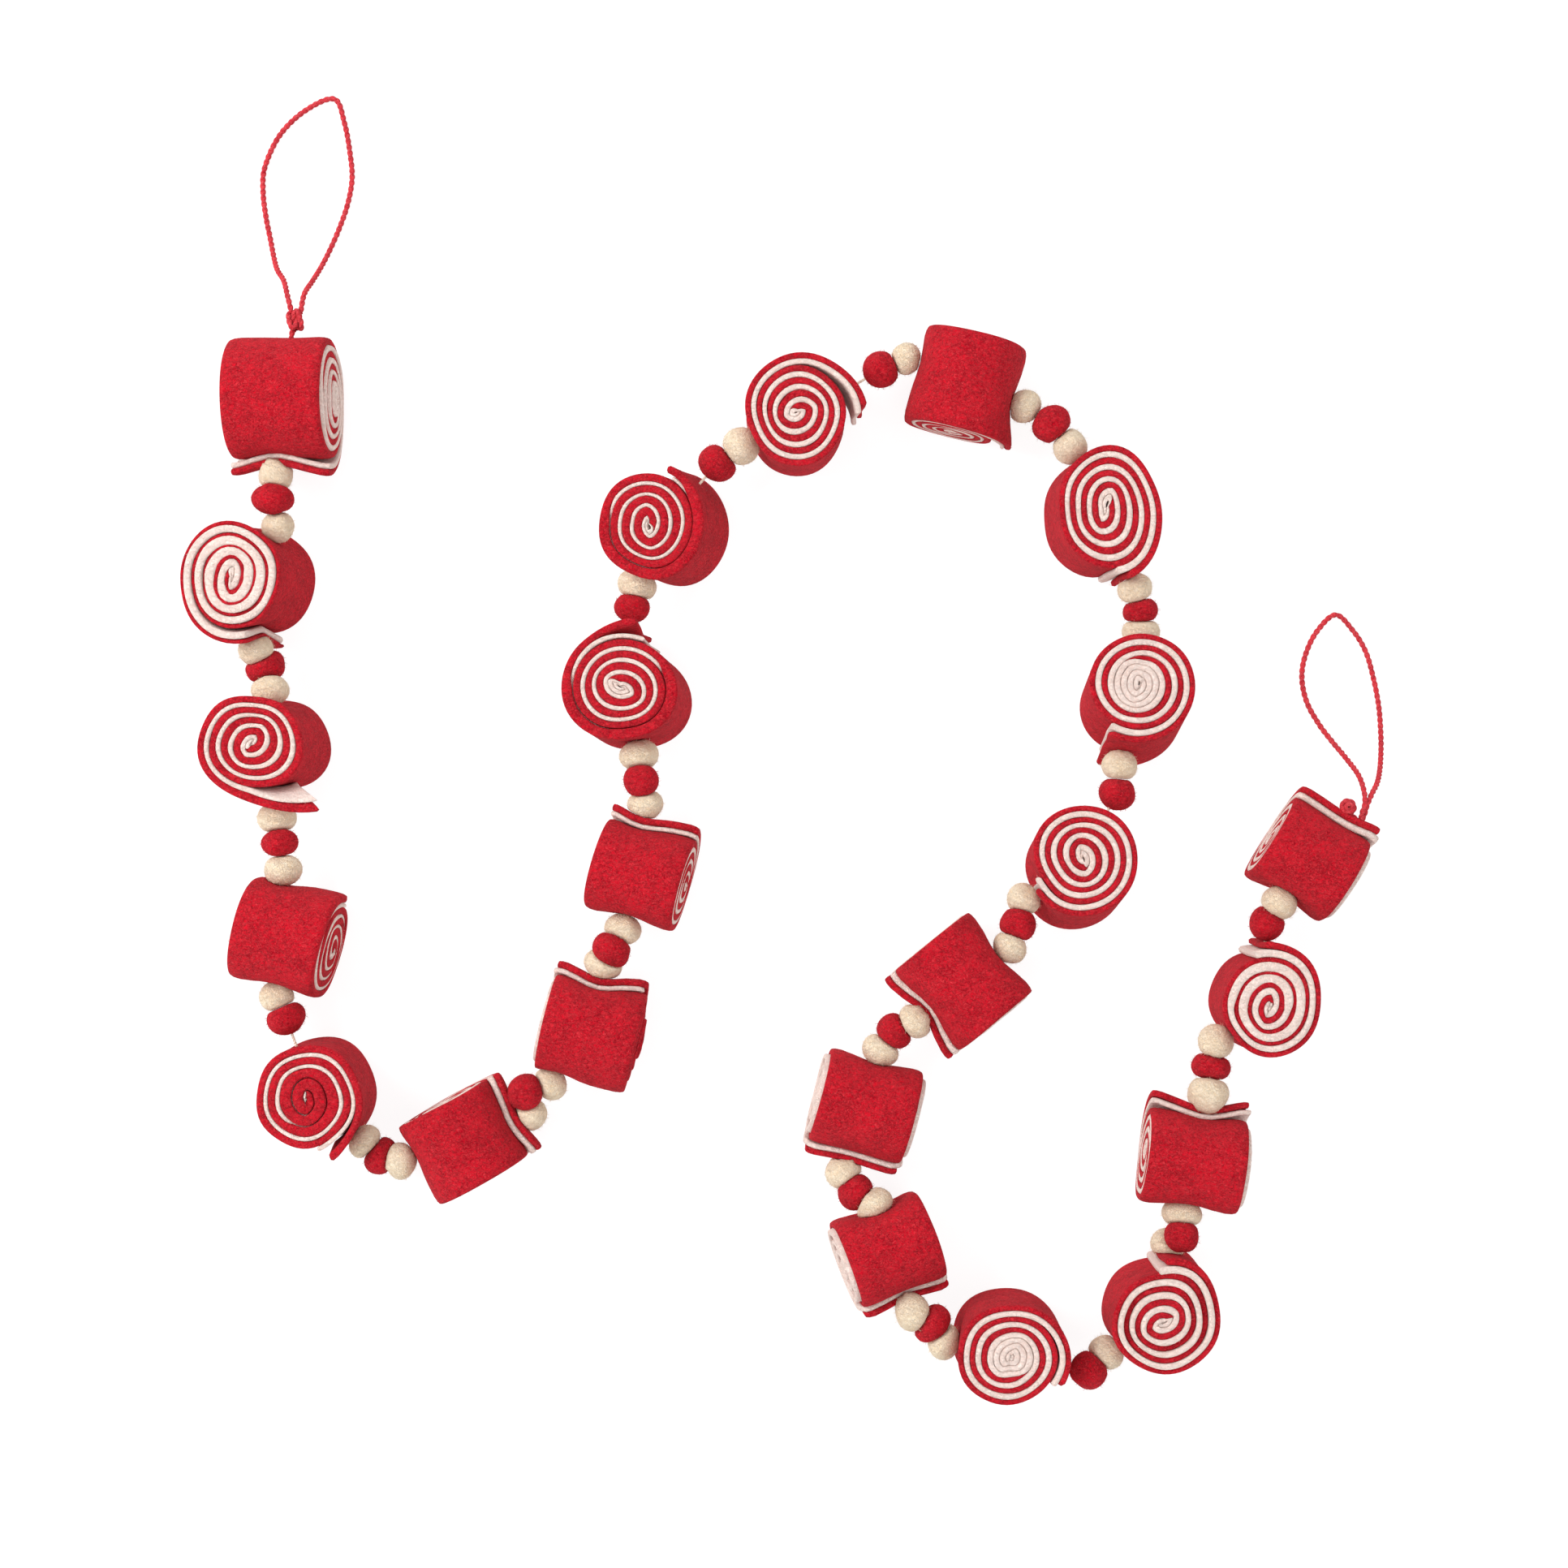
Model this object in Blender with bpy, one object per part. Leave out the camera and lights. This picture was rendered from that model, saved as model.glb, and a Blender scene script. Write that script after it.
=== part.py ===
"""Felt candy garland, laid out flat: rolled felt candies strung with felt beads, and a cord loop at each end.

Each candy is a red felt strip and a white felt strip rolled up together, red outside. Some candies stand on
an end, so that their spiral faces up, and the others lie on their side. The string goes through the middle of
each candy, and the beads between two candies press into them.

Tables and named sizes are in millimetres, and to_metres() turns points into Blender's metres.
"""

import math
from collections import namedtuple

import bmesh
import bpy
from mathutils import Matrix, Vector

# Sizes of the felt and of the cord
MM = 0.001
PITCH = 4.9  # one turn of the roll: a red layer and a white layer
BEAD_FULLNESS = 1.04  # makes up for the flat faces of a ball
THREAD_RADIUS = 0.7
CORD_RADIUS = 1.2
CORD_STEP = 6.0
GAP = 0.35  # between a bead or a knot and the candy that it presses against
CUTTER_LEAD = 0.1  # points that a cutter reaches past the cut end of the strip

# Shape of a roll
SIDES = 16  # points to a turn
LOOSE = 5  # of those points, how many from the cut end the strip stands loose
RIDGE = 1.0  # height of the felt edges over the groove between two turns
RIDGE_FADE = 6  # points over which the raised edge sinks into the core
FACE_TURNS = 3.25  # turns raised on an end that faces up
SIDE_TURNS = 1.75  # turns raised on each end of a candy that lies on its side
LOOSE_MIDDLE = 0.3  # how much of its lift the loose end has where the string holds it
FLAT_SPOT = 2.0  # how much a lying candy is pressed flat by the table
DENT_ANGLE = math.radians(30)
DENT_LENGTH = 10.0
DENT_LEAST = 0.6
DENT_STANDING = 4.5  # a dent's greatest depth
DENT_LYING = 7.0
DENT_TURNS = 3.0  # the dent fades over so many of the inner turns

TURN = 2 * math.pi
CENTRE = Vector((-1.4, -32.5, 0.0))  # middle of the candies' box in the tables' coordinates

# A candy's middle in plan, where its axis points (rise 90 is upright), its size across the section, the width
# of its felt strips, where round the section the cut end is, which way it winds in, and how far that end stands
# off at the end that the axis points to (lift) and at the other one (low).
Candy = namedtuple("Candy", "x y heading rise wide tall strip end turn lift low")
CANDIES = (
    Candy(-213.5, 162, 0, 5, 56, 47, 43, 172, 1, 4, 3),
    Candy(-227, 86.5, 180, 78, 43, 50, 41, -67, -1, 3, 3),
    Candy(-220, 17, 175, 82, 45, 43, 41, -44, -1, 6, 8),
    Candy(-211, -66, -14, 5, 47, 46, 39, -20, 1, 1, 1),
    Candy(-200, -132, 0, 90, 44, 45, 42, -63, 1, 5, 3),
    Candy(-135.5, -151.5, -61, 0, 49, 45, 38, 10, -1, 3, 1),
    Candy(-82.5, -104.7, -13, 0, 50, 45, 40, 10, -1, 1, 2),
    Candy(-60.5, -37.5, -15, 6, 46, 45, 39, 10, -1, 1, 3),
    Candy(-65.5, 38.5, 141, 81, 49, 46, 41, 72, 1, 5, 2),
    Candy(-52, 109, 180, 76, 44, 47, 41, 70, -1, 1.5, 1),
    Candy(5.8, 155.5, 0, 90, 45, 47, 42, 4, 1, 6, 3),
    Candy(76, 170, -104, 0, 44, 44, 42, -28, 1, 9, 1),
    Candy(133.5, 115, 20, 86, 42, 53, 42, -84, 1, 3, 2),
    Candy(149, 37, 90, 76, 45, 44, 41, -122, 1, 3, 1),
    Candy(125, -34.5, 90, 79, 46, 46, 41, -152, 1, 2, 2),
    Candy(75.5, -84.5, -51, 5, 47, 45, 44, 172, 1, 1.5, 1.5),
    Candy(34.5, -137.5, -15, -1, 45, 44, 41, 172, 1, 1.5, 3),
    Candy(44.5, -198, 20, -7, 44, 44, 39, 172, 1, 1.5, 2),
    Candy(94.5, -240, 0, 90, 46, 43, 42, -32, 1, 1, 1),
    Candy(158.5, -225.5, 0, 90, 45, 44, 42, 90, -1, 5, 1),
    Candy(173.5, -159.5, -8, 1, 46, 45, 42, 10, -1, 3, 2),
    Candy(203, -93, 0, 90, 42, 44, 41, 112, -1, 5, 1),
    Candy(222.5, -32.5, -32, 3, 44, 44, 38, 18, -1, 1.5, 2),
)

# The felt balls between a candy and the next one: each one's middle in plan, its size across the string and
# along it, and how far it lies above the string's line. They come as natural, red, natural. Where the string
# shows bare beside a candy, that ball is None.
Bead = namedtuple("Bead", "x y across length rise")
BEAD_ROWS = (
    ((-216, 131, 14.6, 13, -1.5), (-217, 121, 17.4, 13.5, 2), (-215.5, 109.5, 14, 13, -1)),
    ((-224.5, 57, 15.2, 12.5, 1.5), (-221, 50, 17.4, 13.5, -1.5), (-218.5, 40, 16, 13, 1)),
    ((-216, -14.5, 17, 13, -1), (-214.5, -25, 15.5, 12.2, 1), (-213.3, -36.5, 16.2, 13.2, 0)),
    ((-216, -90.5, 14.6, 13, 0), (-212, -99.5, 16.6, 13.4, 0), None),
    ((-178.3, -152, 15.2, 11, 0), (-171.5, -158.3, 16.6, 13, -1), (-163, -160, 15.8, 12.8, 1.5)),
    ((-108, -140.5, 14.5, 13, -2.5), (-109.7, -130.8, 15.4, 15.4, 2.5), (-99.5, -127.6, 14.8, 12.6, -1.5)),
    ((-77, -76.7, 16.5, 12.5, -1.5), (-73.2, -70.3, 17, 13.6, 2), (-68.6, -61.8, 16, 12.6, -1.5)),
    ((-59, -8.7, 15.5, 12.4, -1), (-60.7, 1.3, 15.3, 14.2, 2), (-61.8, 12, 17, 12.8, -1)),
    (None, (-64.6, 75.3, 15.2, 12.8, 0.5), (-62.8, 84.6, 16.6, 13.2, 0)),
    (None, (-28.6, 136.5, 17, 13.6, -1), (-18.3, 143.8, 16, 15, 1)),
    (None, (41.2, 176.5, 16, 14.6, 0), (52, 181.2, 13.9, 12.2, 0)),
    ((102.5, 161, 14.5, 13, -1), (113.8, 153.2, 17, 14.6, 1), (121.8, 143.9, 14.8, 14.4, -0.5)),
    ((149.2, 82.9, 14.6, 13, 1), (151.7, 73.7, 14.9, 11.8, 0), (152, 64.9, 16.2, 12.4, -1)),
    ((142.8, 7.8, 15.2, 12.8, 0.5), (141.9, -3.9, 15.8, 13.8, 0), None),
    ((102, -49.3, 14.5, 13, -1.5), (99.5, -59.6, 15.3, 14.8, 0.5), (95.9, -69.3, 14.9, 12.8, 1)),
    ((55.5, -100.7, 15.3, 12.6, 1.5), (47, -105.2, 15.9, 13.8, 0), (41, -113.3, 16.3, 12.6, -1)),
    ((25, -166, 15.2, 12.6, -2.5), (30.5, -173.5, 15.9, 15.2, 0), (38.2, -178.2, 16.6, 12, 2.5)),
    ((54.8, -224.8, 15.2, 13.8, 1), (63.1, -229.4, 17.2, 13.2, 0), (68.1, -237.4, 15.8, 12.6, -1.5)),
    (None, (129.6, -249.2, 16.3, 15.2, 1), (137.3, -242.2, 15.3, 13.2, -1.5)),
    ((164, -196.5, 15.2, 12.6, -5), (168.7, -191.8, 14.9, 13.2, 3), (169.3, -182.8, 17.4, 12, -0.5)),
    ((180.3, -130.8, 17.6, 13, 1), (181.8, -120.4, 16.9, 12.2, -1), (183.8, -109.7, 15.4, 14.4, 0.5)),
    (None, (205.6, -59.3, 14.9, 14.6, -1), (210.6, -50.5, 15.5, 13.2, 1.5)),
)
BEADS = [[Bead(*sizes) if sizes else None for sizes in row] for row in BEAD_ROWS]
BEAD_COLOURS = ("natural", "red", "natural")

# Where a knot sits, and where and which way the two strands of its loop leave it, in plan
Knot = namedtuple("Knot", "x y length across strands_x strands_y strands_heading rise")
KNOT_LEFT = Knot(-207.2, 196.5, 9.6, 7.6, -206.8, 201.4, 90, 1.0)
KNOT_RIGHT = Knot(239, -10.0, 7.5, 7.0, 246.5, -9.6, 75, 4.0)
STRAND_SPACING = 1.5  # from the middle between the two strands to each
COLLAR_RADIUS = 2.9

# The way that each loop lies: plan and height, from the knot up one side and down the other
LOOP_LEFT = (
    (-209.3, 208.5, 24.3), (-213.2, 214.5, 19), (-217.3, 220.5, 11.5), (-219.9, 227, 5.4), (-222.2, 236, 1.8),
    (-224.1, 245, 1.2), (-225.4, 256, 1.2), (-224.6, 267, 1.2), (-218, 281, 1.2), (-207, 291.5, 1.2),
    (-194.6, 296.4, 1.2), (-190.2, 286, 1.2), (-187.8, 273, 1.2), (-186.9, 262, 1.2), (-188.8, 251, 1.2),
    (-192.4, 240.5, 1.2), (-196.4, 230.5, 2.6), (-199.2, 222.5, 7.6), (-201.8, 215, 15.5), (-204.6, 208.5, 23.4),
)
LOOP_RIGHT = (
    (246.2, -3, 24.3), (244.9, 4, 18.6), (241.2, 11.5, 9.6), (236.6, 18.5, 3.6), (231.4, 26, 1.2),
    (226.2, 35.5, 1.2), (224.1, 46, 1.2), (225.7, 56, 1.2), (230.6, 66, 1.2), (238.6, 73.2, 1.2),
    (246.0, 66.6, 1.2), (251.6, 57.5, 1.2), (255.0, 46, 1.2), (257.3, 34, 1.2), (258.2, 23, 1.2),
    (257.8, 14.5, 3.8), (255.9, 6.5, 10.5), (253, 0.5, 18.6), (249.6, -4.2, 24.0),
)

# Colours: linear red, green and blue
RED_FELT = (0.52, 0.012, 0.025)
NATURAL_FELT = (0.80, 0.63, 0.43)
RED_CORD = (0.58, 0.03, 0.045)


def to_metres(point):
    return (Vector(point) - CENTRE) * MM


def material(name, colour, roughness):
    found = bpy.data.materials.get(name)
    if found is None:
        found = bpy.data.materials.new(name)
        found.use_nodes = True
        shader = found.node_tree.nodes["Principled BSDF"]
        shader.inputs["Base Color"].default_value = (*colour, 1.0)
        shader.inputs["Roughness"].default_value = roughness
        shader.inputs["Metallic"].default_value = 0.0
    return found


def collection(name):
    made = bpy.data.collections.new(name)
    bpy.context.scene.collection.children.link(made)
    return made


def mesh_object(name, bm, group, finish=None):
    """Turns a bmesh into an object of a collection, with its faces pointing out."""
    bmesh.ops.recalc_face_normals(bm, faces=bm.faces)
    mesh = bpy.data.meshes.new(name)
    bm.to_mesh(mesh)
    bm.free()
    if finish:
        mesh.materials.append(finish)
    made = bpy.data.objects.new(name, mesh)
    group.objects.link(made)
    return made


def as_helper(made):
    made.hide_render = True
    made.display_type = "WIRE"
    return made


def stands(candy):
    return candy.rise > 45


def candy_axes(candy):
    """Two directions across the section of a candy, and the one along its axis."""
    heading, rise = math.radians(candy.heading), math.radians(candy.rise)
    along = Vector(
        (math.cos(rise) * math.cos(heading), math.cos(rise) * math.sin(heading), math.sin(rise))
    )
    if stands(candy):  # both ends stay level, so a leaning candy is sheared
        return Vector((1, 0, 0)), Vector((0, 1, 0)), along / along.z
    across = Vector((-math.sin(heading), math.cos(heading), 0))
    return across, along.cross(across), along


def oval_radius(candy, angle):
    half_wide, half_tall = candy.wide / 2, candy.tall / 2
    return half_wide * half_tall / math.hypot(half_tall * math.cos(angle), half_wide * math.sin(angle))


def port(candy, near):
    """Where a bead or knot presses into a candy: the angle round it, the place along it, and the depth."""
    across, _, along = candy_axes(candy)
    x, y, reach = near
    away = Vector((x - candy.x, y - candy.y, 0))
    if stands(candy):
        angle, place, distance, deepest = math.atan2(away.y, away.x), 0.0, away.length, DENT_STANDING
    else:
        angle = 0.0 if away.dot(across) > 0 else math.pi
        place, distance, deepest = away.dot(along), abs(away.dot(across)), DENT_LYING
    wound = (angle - math.radians(candy.end)) * candy.turn % TURN / TURN
    depth = oval_radius(candy, angle) + PITCH / 2 - PITCH * wound - (distance - reach)
    return angle, place, min(max(depth, DENT_LEAST), deepest)


def roll_point(candy, ports, step, place, inset=0.0, grow=0.0):
    """The strip's outer side in the section, step points in from its cut end and place along the axis."""
    wound = step * TURN / SIDES
    angle = math.radians(candy.end) + candy.turn * wound
    radius = oval_radius(candy, angle) + PITCH / 2 - PITCH * wound / TURN
    loose = max(0.0, 1 - step / LOOSE)
    at_corner = candy.lift if place > 0 else candy.low
    at_string = LOOSE_MIDDLE * (candy.lift + candy.low) / 2
    radius += loose**1.6 * (at_string + (at_corner - at_string) * (2 * place / candy.strip) ** 2)
    inner_turns = max(0.0, wound / TURN - 1 - LOOSE / SIDES)
    for port_angle, port_place, depth in ports:
        off_angle = math.remainder(angle - port_angle, TURN) / DENT_ANGLE
        off_place = (place - port_place) / DENT_LENGTH
        press = depth * math.exp(-(off_angle**2)) * (0.3 + 0.7 * math.exp(-(off_place**2)))
        radius -= press * max(0.0, 1 - inner_turns / DENT_TURNS)
    radius += grow - inset
    return radius * math.cos(angle), radius * math.sin(angle)


def candy_sections(candy):
    """Places along the axis where the wall has points: more on a lying candy, whose side shows."""
    half = candy.strip / 2
    if stands(candy):
        return (-half, 0.0, half - RIDGE)
    return (RIDGE - half, -half / 3, half / 3, half - RIDGE)


def outline(candy, ports, place):
    """The section's outline: the outside of the first turn, then back along the inside of the loose end."""
    outside = [roll_point(candy, ports, step, place) for step in range(SIDES + LOOSE + 1)]
    inside = [roll_point(candy, ports, step, place, inset=PITCH) for step in range(LOOSE - 1, -1, -1)]
    return outside + inside


def raised_end(bm, candy, ports, wall, place, turns, put):
    """Closes an end with the edges of the wound felt raised in a spiral, which sinks into a plain core."""
    last = round(turns * SIDES)
    groove = wall[: SIDES + LOOSE + 1]
    for step in range(len(groove), last + SIDES + 1):
        groove.append(bm.verts.new(put(*roll_point(candy, ports, step, place), place)))
    tongue = wall[SIDES + LOOSE + 1 :][::-1]
    crown = []
    for step in range(last + 1):
        crown_place = place + math.copysign(RIDGE * min(1.0, (last - step) / RIDGE_FADE), place)
        middle = roll_point(candy, ports, step, crown_place, inset=PITCH / 2)
        crown.append(bm.verts.new(put(*middle, crown_place)))

    def inner(step):
        return tongue[step] if step < LOOSE else groove[step + SIDES]

    for step in range(last):
        bm.faces.new((groove[step], groove[step + 1], crown[step + 1], crown[step]))
        bm.faces.new((crown[step], crown[step + 1], inner(step + 1), inner(step)))
    bm.faces.new((groove[0], crown[0], inner(0)))
    core = groove[last : last + SIDES + 1] + [crown[last]]
    middle = bm.verts.new(put(0, 0, place + math.copysign(RIDGE / 2, place)))
    for one, other in zip(core, core[1:] + core[:1]):
        bm.faces.new((one, other, middle))


def candy_middle(candy, ports):
    """The middle of a candy at rest on the table."""
    across, up, along = candy_axes(candy)
    if stands(candy):
        return Vector((candy.x, candy.y, candy.strip / 2))
    lowest = min(
        (across * u + up * v + along * place).z
        for place in (-candy.strip / 2, 0, candy.strip / 2)
        for u, v in (roll_point(candy, ports, step, place) for step in range(SIDES))
    )
    return Vector((candy.x, candy.y, -lowest - FLAT_SPOT))


def candy_point(candy, middle, u, v, place):
    """A point of a candy's section, in the tables' coordinates, no lower than the table."""
    across, up, along = candy_axes(candy)
    point = middle + across * u + up * v + along * place
    point.z = max(point.z, 0.0)
    return point


def walls(bm, rings):
    for ring, following in zip(rings, rings[1:]):
        for i in range(len(ring)):
            j = (i + 1) % len(ring)
            bm.faces.new((ring[i], ring[j], following[j], following[i]))


def make_candy(name, candy, ports, group):
    middle = candy_middle(candy, ports)

    def put(u, v, place):
        return to_metres(candy_point(candy, middle, u, v, place))

    bm = bmesh.new()
    rings = [
        [bm.verts.new(put(u, v, place)) for u, v in outline(candy, ports, place)]
        for place in candy_sections(candy)
    ]
    walls(bm, rings)
    places = candy_sections(candy)
    turns = FACE_TURNS if stands(candy) else SIDE_TURNS
    raised_end(bm, candy, ports, rings[-1], places[-1], turns, put)
    if stands(candy):
        bm.faces.new(rings[0])
    else:
        raised_end(bm, candy, ports, rings[0], places[0], turns, put)
    bmesh.ops.triangulate(bm, faces=[face for face in bm.faces if len(face.verts) > 4])
    made = mesh_object(name, bm, group, material("red_felt", RED_FELT, 0.95))
    made.data.shade_smooth()
    made.data.set_sharp_from_angle(angle=math.radians(40))
    return made


def make_cutter(name, candy, ports, group):
    """The candy without its relief or the slot behind its loose end, and GAP larger all round."""
    middle = candy_middle(candy, ports)
    places = candy_sections(candy)
    reach = candy.strip / 2 + GAP
    steps = [-CUTTER_LEAD, *range(SIDES + 1)]
    bm = bmesh.new()
    rings = []
    for section, place in zip((places[0], *places, places[-1]), (-reach, *places, reach)):
        points = [roll_point(candy, ports, step, section, grow=GAP) for step in steps]
        points = [candy_point(candy, middle, u, v, place) for u, v in points]
        rings.append([bm.verts.new(to_metres(point)) for point in points])
    if stands(candy):
        for vertex in rings.pop(1):
            bm.verts.remove(vertex)
    walls(bm, rings)
    bm.faces.new(rings[0])
    bm.faces.new(rings[-1])
    return as_helper(mesh_object(name, bm, group))


def make_tube(name, points, radius, group, finish=None):
    """A closed tube along straight runs between points in the tables' coordinates."""
    curve = bpy.data.curves.new(name, "CURVE")
    curve.dimensions = "3D"
    curve.bevel_depth = radius * MM
    curve.bevel_resolution = 1
    curve.use_fill_caps = True
    spline = curve.splines.new("POLY")
    spline.points.add(len(points) - 1)
    for slot, point in zip(spline.points, points):
        slot.co = (*to_metres(point), 1)
    guide = bpy.data.objects.new(name + "_guide", curve)
    group.objects.link(guide)
    mesh = bpy.data.meshes.new_from_object(guide.evaluated_get(bpy.context.evaluated_depsgraph_get()))
    bm = bmesh.new()
    bm.from_mesh(mesh)
    bmesh.ops.remove_doubles(bm, verts=bm.verts, dist=0.00001)
    bpy.data.objects.remove(guide)
    return mesh_object(name, bm, group, finish)


def pointing(direction):
    """Turns +Z to a direction, as a 4 by 4 matrix."""
    return Vector(direction).to_track_quat("Z", "Y").to_matrix().to_4x4()


def make_bead(name, middle, direction, bead, finish, group):
    """A felt ball squashed along the string."""
    bm = bmesh.new()
    bmesh.ops.create_uvsphere(bm, u_segments=8, v_segments=5, radius=1.0)
    across, length = bead.across / 2 * BEAD_FULLNESS, bead.length / 2 * BEAD_FULLNESS
    size = Matrix.Diagonal((across * MM, across * MM, length * MM, 1))
    placing = Matrix.Translation(to_metres(middle)) @ pointing(direction) @ size
    bmesh.ops.transform(bm, matrix=placing, verts=bm.verts)
    return as_helper(mesh_object(name, bm, group, finish))


def make_turned(name, middle, direction, profile, group, ridges=0.0):
    """A turned body from (place along, radius) rows, with ridges that wind round it."""
    sides = 9
    bm = bmesh.new()
    rings = []
    placing = Matrix.Translation(to_metres(middle)) @ pointing(direction)
    for along, radius in profile:
        ring = []
        for side in range(sides):
            angle = side * TURN / sides
            swell = 1 + ridges * math.cos(3 * angle - along * 1.1)
            at = Vector((radius * swell * math.cos(angle), radius * swell * math.sin(angle), along)) * MM
            ring.append(bm.verts.new(placing @ at))
        rings.append(ring)
    walls(bm, rings)
    bm.faces.new(rings[0])
    bm.faces.new(rings[-1])
    return as_helper(mesh_object(name, bm, group))


def add_boolean(made, other, operation):
    modifier = made.modifiers.new(operation.lower() + "_" + other.name, "BOOLEAN")
    modifier.operation = operation
    modifier.solver = "EXACT"
    modifier.material_mode = "TRANSFER" if operation == "UNION" else "INDEX"
    modifier.object = other


def strung_beads(row, ends):
    """The beads of a row, as (colour, bead, middle), along the string between two candies' middles."""
    return [
        (colour, bead, Vector((bead.x, bead.y, ends[0].z + (ends[1].z - ends[0].z) * share + bead.rise)))
        for colour, bead, share in zip(BEAD_COLOURS, row, (0.3, 0.5, 0.7))
        if bead
    ]


def make_beads(name, row, ends, cutters, groups):
    """The beads of one row as a single body on their piece of thread, cut back from the candies beside them."""
    strung = strung_beads(row, ends)
    middles = [middle for _, _, middle in strung]
    path = [middles[0].lerp(ends[0], 0.6), *middles, middles[-1].lerp(ends[1], 0.6)]
    finishes = {
        "natural": material("natural_felt", NATURAL_FELT, 0.95),
        "red": material("red_felt", RED_FELT, 0.95),
    }
    thread = make_tube(name, path, THREAD_RADIUS, groups[0], finishes["natural"])
    for number, (colour, bead, middle) in enumerate(strung, 1):
        direction = path[number + 1] - path[number - 1]
        ball = make_bead(f"{name}_{number}", middle, direction, bead, finishes[colour], groups[1])
        add_boolean(thread, ball, "UNION")
    for cutter in cutters:
        add_boolean(thread, cutter, "DIFFERENCE")
    return thread


def make_knot(name, knot, end, cutter, groups):
    """A knot with its short tail into the candy, and the collar that the loop's two strands come out of."""
    height = end.z + knot.rise
    middle = Vector((knot.x, knot.y, height))
    heading = math.radians(knot.strands_heading)
    out = Vector((math.cos(heading), math.sin(heading), 0))
    collar_end = Vector((knot.strands_x, knot.strands_y, height))
    collar_start = collar_end - out * 4.0
    finish = material("red_cord", RED_CORD, 0.9)
    tail = make_tube(name, [middle.lerp(end, 0.7), middle, collar_start], CORD_RADIUS, groups[0], finish)
    half, wide = knot.length / 2, knot.across / 2
    barrel = [(-half, 0.5 * wide), (-half * 0.6, 0.9 * wide), (0, wide), (half * 0.6, 0.9 * wide)]
    barrel.append((half, 0.5 * wide))
    body = make_turned(name + "_body", middle, middle - end, barrel, groups[1], ridges=0.09)
    collar = make_turned(
        name + "_collar", collar_start, out, [(-1.5, COLLAR_RADIUS * 0.8), (4.0, COLLAR_RADIUS)], groups[1]
    )
    add_boolean(tail, body, "UNION")
    add_boolean(tail, collar, "UNION")
    add_boolean(tail, cutter, "DIFFERENCE")
    return tail


def smooth_path(points, step):
    """A Catmull-Rom curve through the points, as new points about step apart."""
    points = [Vector(point) for point in points]
    ends = [2 * points[0] - points[1], *points, 2 * points[-1] - points[-2]]
    fine = []
    for before, start, end, after in zip(ends, ends[1:], ends[2:], ends[3:]):
        for part in range(20):
            t = part / 20
            bend = (2 * before - 5 * start + 4 * end - after) * t**2
            bend += (3 * start - before - 3 * end + after) * t**3
            fine.append((2 * start + (end - before) * t + bend) / 2)
    fine.append(points[-1])
    count = round(sum((b - a).length for a, b in zip(fine, fine[1:])) / step)
    total = sum((b - a).length for a, b in zip(fine, fine[1:]))
    even, travelled, wanted = [fine[0]], 0.0, total / count
    for a, b in zip(fine, fine[1:]):
        while travelled + (b - a).length >= wanted - 1e-6 and len(even) < count:
            even.append(a.lerp(b, (wanted - travelled) / (b - a).length))
            wanted += total / count
        travelled += (b - a).length
    even.append(fine[-1])
    return even


def strand_starts(knot, height):
    """Where the loop's two strands leave the collar, GAP clear of it, left strand first."""
    heading = math.radians(knot.strands_heading)
    out = Vector((math.cos(heading), math.sin(heading), 0))
    side = Vector((-math.sin(heading), math.cos(heading), 0))
    middle = Vector((knot.strands_x, knot.strands_y, height)) + out * GAP
    return middle + side * STRAND_SPACING, middle - side * STRAND_SPACING


def make_loop(name, knot, height, route, group):
    """A cord loop that leaves its knot, lies on the table and comes back to the knot."""
    left, right = strand_starts(knot, height)
    curve = bpy.data.curves.new(name, "CURVE")
    curve.dimensions = "3D"
    curve.bevel_depth = CORD_RADIUS * MM
    curve.bevel_resolution = 2
    curve.use_fill_caps = True
    path = smooth_path([left, *route, right], CORD_STEP)
    spline = curve.splines.new("POLY")
    spline.points.add(len(path) - 1)
    for slot, point in zip(spline.points, path):
        slot.co = (*to_metres(point), 1)
    curve.materials.append(material("red_cord", RED_CORD, 0.9))
    made = bpy.data.objects.new(name, curve)
    group.objects.link(made)
    return made


def main():
    for found in list(bpy.data.objects):
        bpy.data.objects.remove(found)
    garland, helpers = collection("felt_candy_garland"), collection("helpers")
    neighbours = [[(KNOT_LEFT.x, KNOT_LEFT.y, KNOT_LEFT.length / 2)]]
    for row in BEADS:
        strung = [(bead.x, bead.y, bead.length / 2) for bead in row if bead]
        neighbours[-1].append(strung[0])
        neighbours.append([strung[-1]])
    neighbours[-1].append((KNOT_RIGHT.x, KNOT_RIGHT.y, KNOT_RIGHT.length / 2))
    cutters, middles = [], []
    for number, (candy, near) in enumerate(zip(CANDIES, neighbours), 1):
        ports = [port(candy, spot) for spot in near]
        make_candy(f"candy_{number:02d}", candy, ports, garland)
        cutters.append(make_cutter(f"candy_cutter_{number:02d}", candy, ports, helpers))
        middles.append(candy_middle(candy, ports))
    for number, row in enumerate(BEADS, 1):
        name = f"beads_{number:02d}_{number + 1:02d}"
        pair = slice(number - 1, number + 1)
        make_beads(name, row, middles[pair], cutters[pair], (garland, helpers))
    for side, knot, route, at in (
        ("left", KNOT_LEFT, LOOP_LEFT, 0),
        ("right", KNOT_RIGHT, LOOP_RIGHT, -1),
    ):
        make_knot("knot_" + side, knot, middles[at], cutters[at], (garland, helpers))
        make_loop("loop_" + side, knot, middles[at].z + knot.rise, route, garland)


main()
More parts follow.
